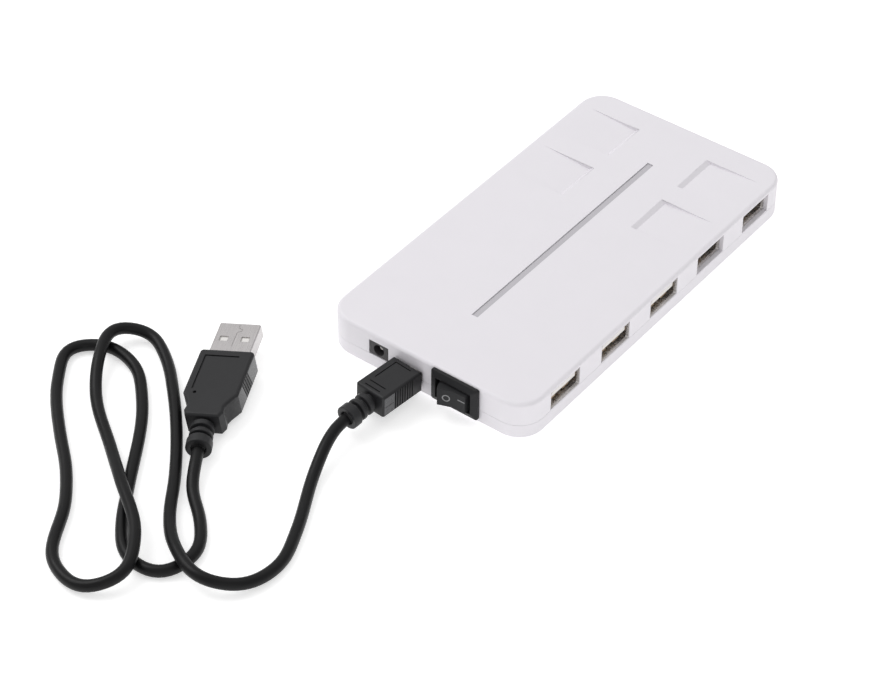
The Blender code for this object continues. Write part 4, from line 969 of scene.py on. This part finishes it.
def rocker_face(side):
    """A frame on one of the rocker's two faces: X along the face, from the V, and Z outwards."""
    tip = Vector((side * ROCKER_TIP[0], ROCKER_TIP[1], 0))
    valley = Vector((0, -ROCKER_FACE, 0))
    run = (tip - valley).normalized()
    out = Vector((side * run.y, -side * run.x, 0))
    up = out.cross(run)
    turn = Matrix((run, up, out)).transposed().to_4x4()
    return Matrix.Translation(valley) @ turn


def make_rocker():
    half = ROCKER_HEIGHT / 2
    pivot_y = FRONT - BEZEL_EDGE - BEZEL_RISE + ROCKER_PIVOT_DEPTH
    place = (
        Matrix.Translation((SWITCH_X, pivot_y, SWITCH_Z)) @ Matrix.Rotation(ROCKER_TILT, 4, "Z")
    )
    stub = bmesh.new()
    cylinder(stub, PIVOT_RADIUS, -half - PIVOT_REACH, half + PIVOT_REACH, segments=24)
    mesh = carve(prism(rocker_outline(), -half, half), ("UNION", stub))
    piece(
        "visual_switch_rocker", mesh, SWITCH_BLACK, "rocker", ["switch_rocker"], place, 0.18 * MM,
        angle=20, segments=3,
    )
    ring = bmesh.new()
    cylinder(ring, OFF_MARK_RADII[1], -MARK_SUNK, MARK_RISE)
    hole = bmesh.new()
    cylinder(hole, OFF_MARK_RADII[0], -MM, MM)
    off_place = place @ rocker_face(-1) @ Matrix.Translation((OFF_MARK_X, 0, 0))
    piece("mark_off", carve(ring, ("DIFFERENCE", hole)), MARK_GREY, "rocker", (), off_place)
    bar = boxes((
        (ON_MARK_X[0], -ON_MARK_HALF_WIDTH, -MARK_SUNK),
        (ON_MARK_X[1], ON_MARK_HALF_WIDTH, MARK_RISE),
    ))
    on_place = place @ Matrix.Translation((0, 0, ON_MARK_RISE)) @ rocker_face(1)
    piece("mark_on", bar, MARK_GREY, "rocker", (), on_place)


# ---- Cable ----

def relief_mesh(radius, length):
    """A ringed strain relief turned about Z, from inside the overmould down to -length.

    Two slim rings with deep grooves are followed by a fatter one, which is hollow round the cord.
    """
    groove = radius - RELIEF_GROOVE
    flare = radius + RELIEF_FLARE
    points = [(0.0, RELIEF_ROOT), (groove, RELIEF_ROOT)]
    for start, stop in RELIEF_SLIM_RINGS:
        points += [(groove, -start * length), (radius, -start * length - OVERLAP)]
        points += [(radius, -stop * length + OVERLAP), (groove, -stop * length)]
    start, stop = RELIEF_FAT_RING
    points += [(groove, -start * length), (flare, -stop * length), (flare, -length)]
    mouth, throat, depth = RELIEF_HOLLOW
    points += [(mouth, -length), (throat, -length + depth), (0.0, -length + depth)]
    return turned(smooth_profile(points, RELIEF_ROUNDING, 4))


def marks_on_top(spans, top, depth):
    """Shallow cuts into the top of a plug, each between two corners in millimetres."""
    return [
        boxes(((x0 * MM, y0 * MM, top - depth), (x1 * MM, y1 * MM, top + MM)))
        for (x0, y0), (x1, y1) in spans
    ]


def make_mini_plug():
    """The plug's outside, its ringed strain relief and its metal tip."""
    half_x = MINI_BODY_WIDTH / 2
    half_z = MINI_BODY_HEIGHT / 2
    start = MINI_PLUG_GAP
    stop = MINI_PLUG_GAP + MINI_BODY_LENGTH
    chamfer = MINI_BODY_CHAMFER
    outline = [
        (-half_x, -start), (-half_x, chamfer - stop), (chamfer - half_x, -stop),
        (half_x - chamfer, -stop), (half_x, chamfer - stop), (half_x, -start),
    ]
    body = prism(outline, -half_z, half_z)
    bevel_edges(body, lambda edge: not along(2)(edge), MINI_BODY_EDGE, 5)
    relief_place = (
        Matrix.Translation((0, -stop, 0))
        @ Matrix.Rotation(math.radians(-90) + MINI_RELIEF_DROOP, 4, "X")
    )
    relief = relief_mesh(MINI_RELIEF_RADIUS, MINI_RELIEF_LENGTH)
    bmesh.ops.transform(relief, matrix=relief_place, verts=relief.verts)
    lines = marks_on_top(MINI_MARKS_MM, half_z, MINI_MARK_DEPTH)
    half_rib, rib_z = MINI_RIB_HALF_WIDTH, MINI_RIB_HALF_HEIGHT
    for sign in (-1, 1):
        near, far = sorted((sign * (half_x - MINI_RIB_DEPTH), sign * (half_x + MM)))
        for number in range(MINI_RIBS):
            y = -MINI_RIB_START - MINI_RIB_PITCH * number
            lines.append(boxes(((near, y - half_rib, -rib_z), (far, y + half_rib, rib_z))))
        near, far = sorted((sign * (half_x - MINI_LINE_DEPTH), sign * (half_x + MM)))
        lines.append(boxes((
            (near, MINI_LINE_Y[0], MINI_LINE_Z[0]), (far, MINI_LINE_Y[1], MINI_LINE_Z[1]),
        )))
    mesh = carve(body, ("UNION", relief), *[("DIFFERENCE", line) for line in lines])
    piece(
        "visual_mini_plug_body", mesh, SATIN_BLACK, "cable", ["mini_plug_body"], MINI_FRAME,
        0.06 * MM, panels=MINI_PANELS,
    )
    shell = mini_tube(MINI_TIP_OUTER, MINI_TIP_INNER, -start + OVERLAP, MINI_TIP_LENGTH, False)
    piece(
        "visual_mini_plug_shell", shell, PLUG_STEEL, "cable", ["mini_plug_shell"], MINI_FRAME,
        0.05 * MM,
    )
    return MINI_FRAME @ relief_place, MINI_RELIEF_LENGTH


def make_usb_plug():
    """The plug's outside, its ringed strain relief, its seamed shell and what is inside that."""
    half_x = PLUG_BODY_WIDTH / 2
    half_z = PLUG_BODY_HEIGHT / 2
    cut = PLUG_FRONT_CUT
    right = [
        (half_x - PLUG_FRONT_RADIUS, 0.0), (half_x - cut, -cut), (half_x, -PLUG_FRONT_RADIUS),
        (half_x, -17.3 * MM), (PLUG_WAIST + 0.6 * MM, -20.6 * MM), (PLUG_WAIST, -22.2 * MM),
        (PLUG_COLLAR, -24.0 * MM), (PLUG_COLLAR - 0.8 * MM, -PLUG_BODY_LENGTH),
    ]
    body = prism(right + [(-x, y) for x, y in reversed(right)], -half_z, half_z)
    bevel_edges(body, lambda edge: not along(2)(edge), PLUG_BODY_EDGE, 5)
    relief_place = (
        Matrix.Translation((0, -PLUG_BODY_LENGTH, 0)) @ Matrix.Rotation(PLUG_RELIEF_BEND, 4, "Z")
        @ Matrix.Rotation(math.radians(-90), 4, "X")
    )
    relief = relief_mesh(PLUG_RELIEF_RADIUS, PLUG_RELIEF_LENGTH)
    bmesh.ops.transform(relief, matrix=relief_place, verts=relief.verts)
    lines = marks_on_top(PLUG_MARKS_MM, half_z, PLUG_MARK_DEPTH)
    dot = bmesh.new()
    cylinder(dot, PLUG_DOT_RADIUS, half_z - PLUG_DOT_DEPTH, half_z + MM, *PLUG_DOT_PLACE, 20)
    lines.append(dot)
    for sign in (-1, 1):
        for number in range(PLUG_RIBS):
            bm = turned_about(boxes((PLUG_RIB_LOW, PLUG_RIB_HIGH)), PLUG_RIB_LEAN, "X")
            y = -PLUG_RIB_START - PLUG_RIB_PITCH * number
            bmesh.ops.translate(bm, verts=bm.verts, vec=(sign * half_x, y, 0))
            lines.append(bm)
    mesh = carve(body, ("UNION", relief), *[("DIFFERENCE", line) for line in lines])
    piece(
        "visual_usb_plug_body", mesh, SATIN_BLACK, "cable", ["usb_plug_body"], PLUG_FRAME,
        0.06 * MM, panels=PLUG_PANELS,
    )
    inner_x = PLUG_SHELL_WIDTH / 2 - SHELL_WALL
    inner_z = PLUG_SHELL_HEIGHT / 2 - SHELL_WALL
    outer = block(
        (-inner_x - SHELL_WALL, GAP, -inner_z - SHELL_WALL),
        (inner_x + SHELL_WALL, PLUG_SHELL_LENGTH, inner_z + SHELL_WALL),
        PLUG_SHELL_RADIUS, 1, segments=6,
    )
    hollow = block(
        (-inner_x, -MM, -inner_z), (inner_x, 20 * MM, inner_z),
        PLUG_SHELL_RADIUS - SHELL_WALL, 1,
    )
    half_window = PLUG_WINDOW_HALF_WIDTH
    windows = boxes(*[
        (
            (x - half_window, PLUG_WINDOW_Y[0], -4 * MM),
            (x + half_window, PLUG_WINDOW_Y[1], 4 * MM),
        )
        for x in PLUG_WINDOW_XS
    ])
    half_seam = PLUG_SEAM_HALF_WIDTH
    seam_z = PLUG_SHELL_HEIGHT / 2 - PLUG_SEAM_DEPTH
    seams = []
    for (x0, y0), (x1, y1) in zip(PLUG_SEAM_MM, PLUG_SEAM_MM[1:]):
        run = Vector((x1 - x0, y1 - y0, 0)) * MM
        bm = boxes(((-half_seam, -half_seam, 0), (run.length + half_seam, half_seam, MM)))
        turned_about(bm, math.degrees(math.atan2(run.y, run.x)), "Z")
        bmesh.ops.translate(bm, verts=bm.verts, vec=(x0 * MM, y0 * MM, seam_z))
        seams.append(("DIFFERENCE", bm))
    mesh = carve(outer, ("DIFFERENCE", hollow), ("DIFFERENCE", windows), *seams)
    piece(
        "visual_usb_plug_shell", mesh, PLUG_STEEL, "cable", ["usb_plug_shell"], PLUG_FRAME,
        0.05 * MM,
    )
    half_width = inner_x - OVERLAP
    carrier = boxes((
        (-half_width, GAP, OVERLAP), (half_width, PLUG_INSULATOR_END, inner_z - OVERLAP),
    ))
    piece(
        "visual_usb_plug_carrier", carrier, TONGUE_WHITE, "cable", ["usb_plug_insulator"], PLUG_FRAME,
        0.1 * MM,
    )
    contacts = boxes(*[
        (
            (x - CONTACT_HALF_WIDTH, PLUG_CONTACT_Y[0], 0.0),
            (x + CONTACT_HALF_WIDTH, PLUG_CONTACT_Y[1], PLUG_CONTACT_HEIGHT),
        )
        for x in CONTACT_YS
    ])
    piece("plug_contacts", contacts, GOLD, "cable", (), PLUG_FRAME, 0.03 * MM)
    return PLUG_FRAME @ relief_place, PLUG_RELIEF_LENGTH


def smooth_curve(points, steps):
    """A smooth curve through points that may be unevenly spaced."""
    padded = [2 * points[0] - points[1]] + list(points) + [2 * points[-1] - points[-2]]
    curve = []
    for i in range(1, len(padded) - 2):
        before, start, end, after = padded[i - 1:i + 3]
        first, middle, last = (start - before).length, (end - start).length, (after - end).length
        share = middle / (first + middle)
        leave = (start - before) * middle / first * share + (end - start) * (1 - share)
        share = middle / (middle + last)
        arrive = (after - end) * middle / last * share + (end - start) * (1 - share)
        for step in range(steps):
            t = step / steps
            curve.append(
                start * (2 * t ** 3 - 3 * t ** 2 + 1) + leave * (t ** 3 - 2 * t ** 2 + t)
                + end * (3 * t ** 2 - 2 * t ** 3) + arrive * (t ** 3 - t ** 2)
            )
    curve.append(padded[-2].copy())
    return curve


def resample(curve, spacing):
    """Points at equal distances along a fine curve, its ends included."""
    runs = [0.0]
    for a, b in zip(curve, curve[1:]):
        runs.append(runs[-1] + (b - a).length)
    count = max(2, round(runs[-1] / spacing))
    points = []
    index = 0
    for number in range(count + 1):
        target = runs[-1] * number / count
        while index < len(runs) - 2 and runs[index + 1] < target:
            index += 1
        share = (target - runs[index]) / (runs[index + 1] - runs[index])
        points.append(curve[index].lerp(curve[index + 1], share))
    return points


def relaxed(points, passes):
    """The same points, each drawn towards its neighbours again and again. The ends stay put."""
    for _ in range(passes):
        inner = [(a + 2 * b + c) / 4 for a, b, c in zip(points, points[1:], points[2:])]
        points = [points[0]] + inner + [points[-1]]
    return points


def make_cord(mini_relief, mini_length, plug_relief, plug_length):
    """The cord runs between the strain reliefs, a small gap from each, and never under the table."""
    starts = [mini_relief @ Vector((0, 0, -mini_length - GAP - run)) for run in (0, CORD_LEAD)]
    stops = [plug_relief @ Vector((0, 0, -plug_length - GAP - run)) for run in (CORD_LEAD, 0)]
    route = starts + [Vector(point) * MM for point in CORD_ROUTE_MM] + stops
    points = relaxed(resample(smooth_curve(route, 12), CORD_FINE_STEP), CORD_PASSES)
    for point in points:
        point.z = max(point.z, CORD_RADIUS)
    data = bpy.data.curves.new("visual_cord", "CURVE")
    data.dimensions = "3D"
    data.bevel_depth = CORD_RADIUS
    data.bevel_resolution = 6
    data.use_fill_caps = True
    spline = data.splines.new("POLY")
    spline.points.add(len(points) - 1)
    for point, place in zip(spline.points, points):
        point.co = (*place, 1.0)
    spline.use_smooth = True
    data.materials.append(CORD_BLACK)
    obj = bpy.data.objects.new("visual_cord", data)
    bpy.context.scene.collection.objects.link(obj)
    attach(obj, "cable")
    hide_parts("cord")
    tuple(route[0])


def dress_inner_nodes():
    """The pieces inside the case keep the frame's shapes and get their own finishes."""
    finishes = {
        "circuit_board": BOARD_GREEN, "hub_chip": CHIP_BLACK, "crystal": STEEL,
        "capacitor": ALUMINIUM, "indicator_led": LED_CLEAR, "switch_contact_arm": BRASS,
        "switch_terminal": BRASS, "switch_wire_1": WIRE_RED, "switch_wire_2": CORD_BLACK,
        "mini_usb_socket_tongue": CHIP_BLACK, "mini_plug_insulator": CHIP_BLACK,
    }
    for name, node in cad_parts.items():
        for prefix, finish in finishes.items():
            if name.startswith(prefix):
                node.data.materials.clear()
                node.data.materials.append(finish)


# ---- Stage ----

def make_stage():
    reach = FLOOR_REACH
    floor_mesh = mesh_of(boxes(((-reach, -reach, -0.01), (reach, reach, 0.0))), "floor")
    floor = bpy.data.objects.new("floor", floor_mesh)
    bpy.context.scene.collection.objects.link(floor)
    pale = bpy.data.materials.new("pale_floor")
    pale.use_nodes = True
    shader = pale.node_tree.nodes["Principled BSDF"]
    shader.inputs["Base Color"].default_value = (0.8, 0.8, 0.8, 1)
    shader.inputs["Roughness"].default_value = 0.9
    shader.inputs["Specular IOR Level"].default_value = 0.1
    shader.inputs["Emission Color"].default_value = (1, 1, 1, 1)
    shader.inputs["Emission Strength"].default_value = 0.52
    floor_mesh.materials.append(pale)
    world = bpy.data.worlds.new("studio")
    bpy.context.scene.world = world
    world.use_nodes = True
    background = world.node_tree.nodes["Background"]
    background.inputs["Color"].default_value = (1, 1, 1, 1)
    background.inputs["Strength"].default_value = 0.64
    for name, place, size, power in LIGHTS:
        data = bpy.data.lights.new(name, "AREA")
        data.size = size
        data.energy = power
        light = bpy.data.objects.new(name, data)
        light.location = place
        aim = LIGHT_AIM - Vector(place)
        light.rotation_euler = aim.to_track_quat("-Z", "Y").to_euler()
        bpy.context.scene.collection.objects.link(light)
    bpy.context.scene.view_settings.view_transform = "Standard"


def make_camera():
    data = bpy.data.cameras.new("camera")
    data.sensor_width = 36.0
    data.lens = CAMERA_LENS
    data.clip_start = 0.01
    camera = bpy.data.objects.new("camera", data)
    turn = (
        Matrix.Rotation(CAMERA_HEADING, 4, "Z")
        @ Matrix.Rotation(math.radians(90) - CAMERA_DIP, 4, "X")
        @ Matrix.Rotation(CAMERA_ROLL, 4, "Z")
    )
    camera.matrix_world = Matrix.Translation(CAMERA_PLACE) @ turn
    bpy.context.scene.collection.objects.link(camera)
    bpy.context.scene.camera = camera


make_camera()
make_stage()
make_cord(*make_mini_plug(), *make_usb_plug())
make_top_cover()
make_bottom_cover()
make_light_bar()
make_feet_and_screws()
make_usb_sockets()
make_jack()
make_mini_socket()
make_switch_body()
make_rocker()
dress_inner_nodes()
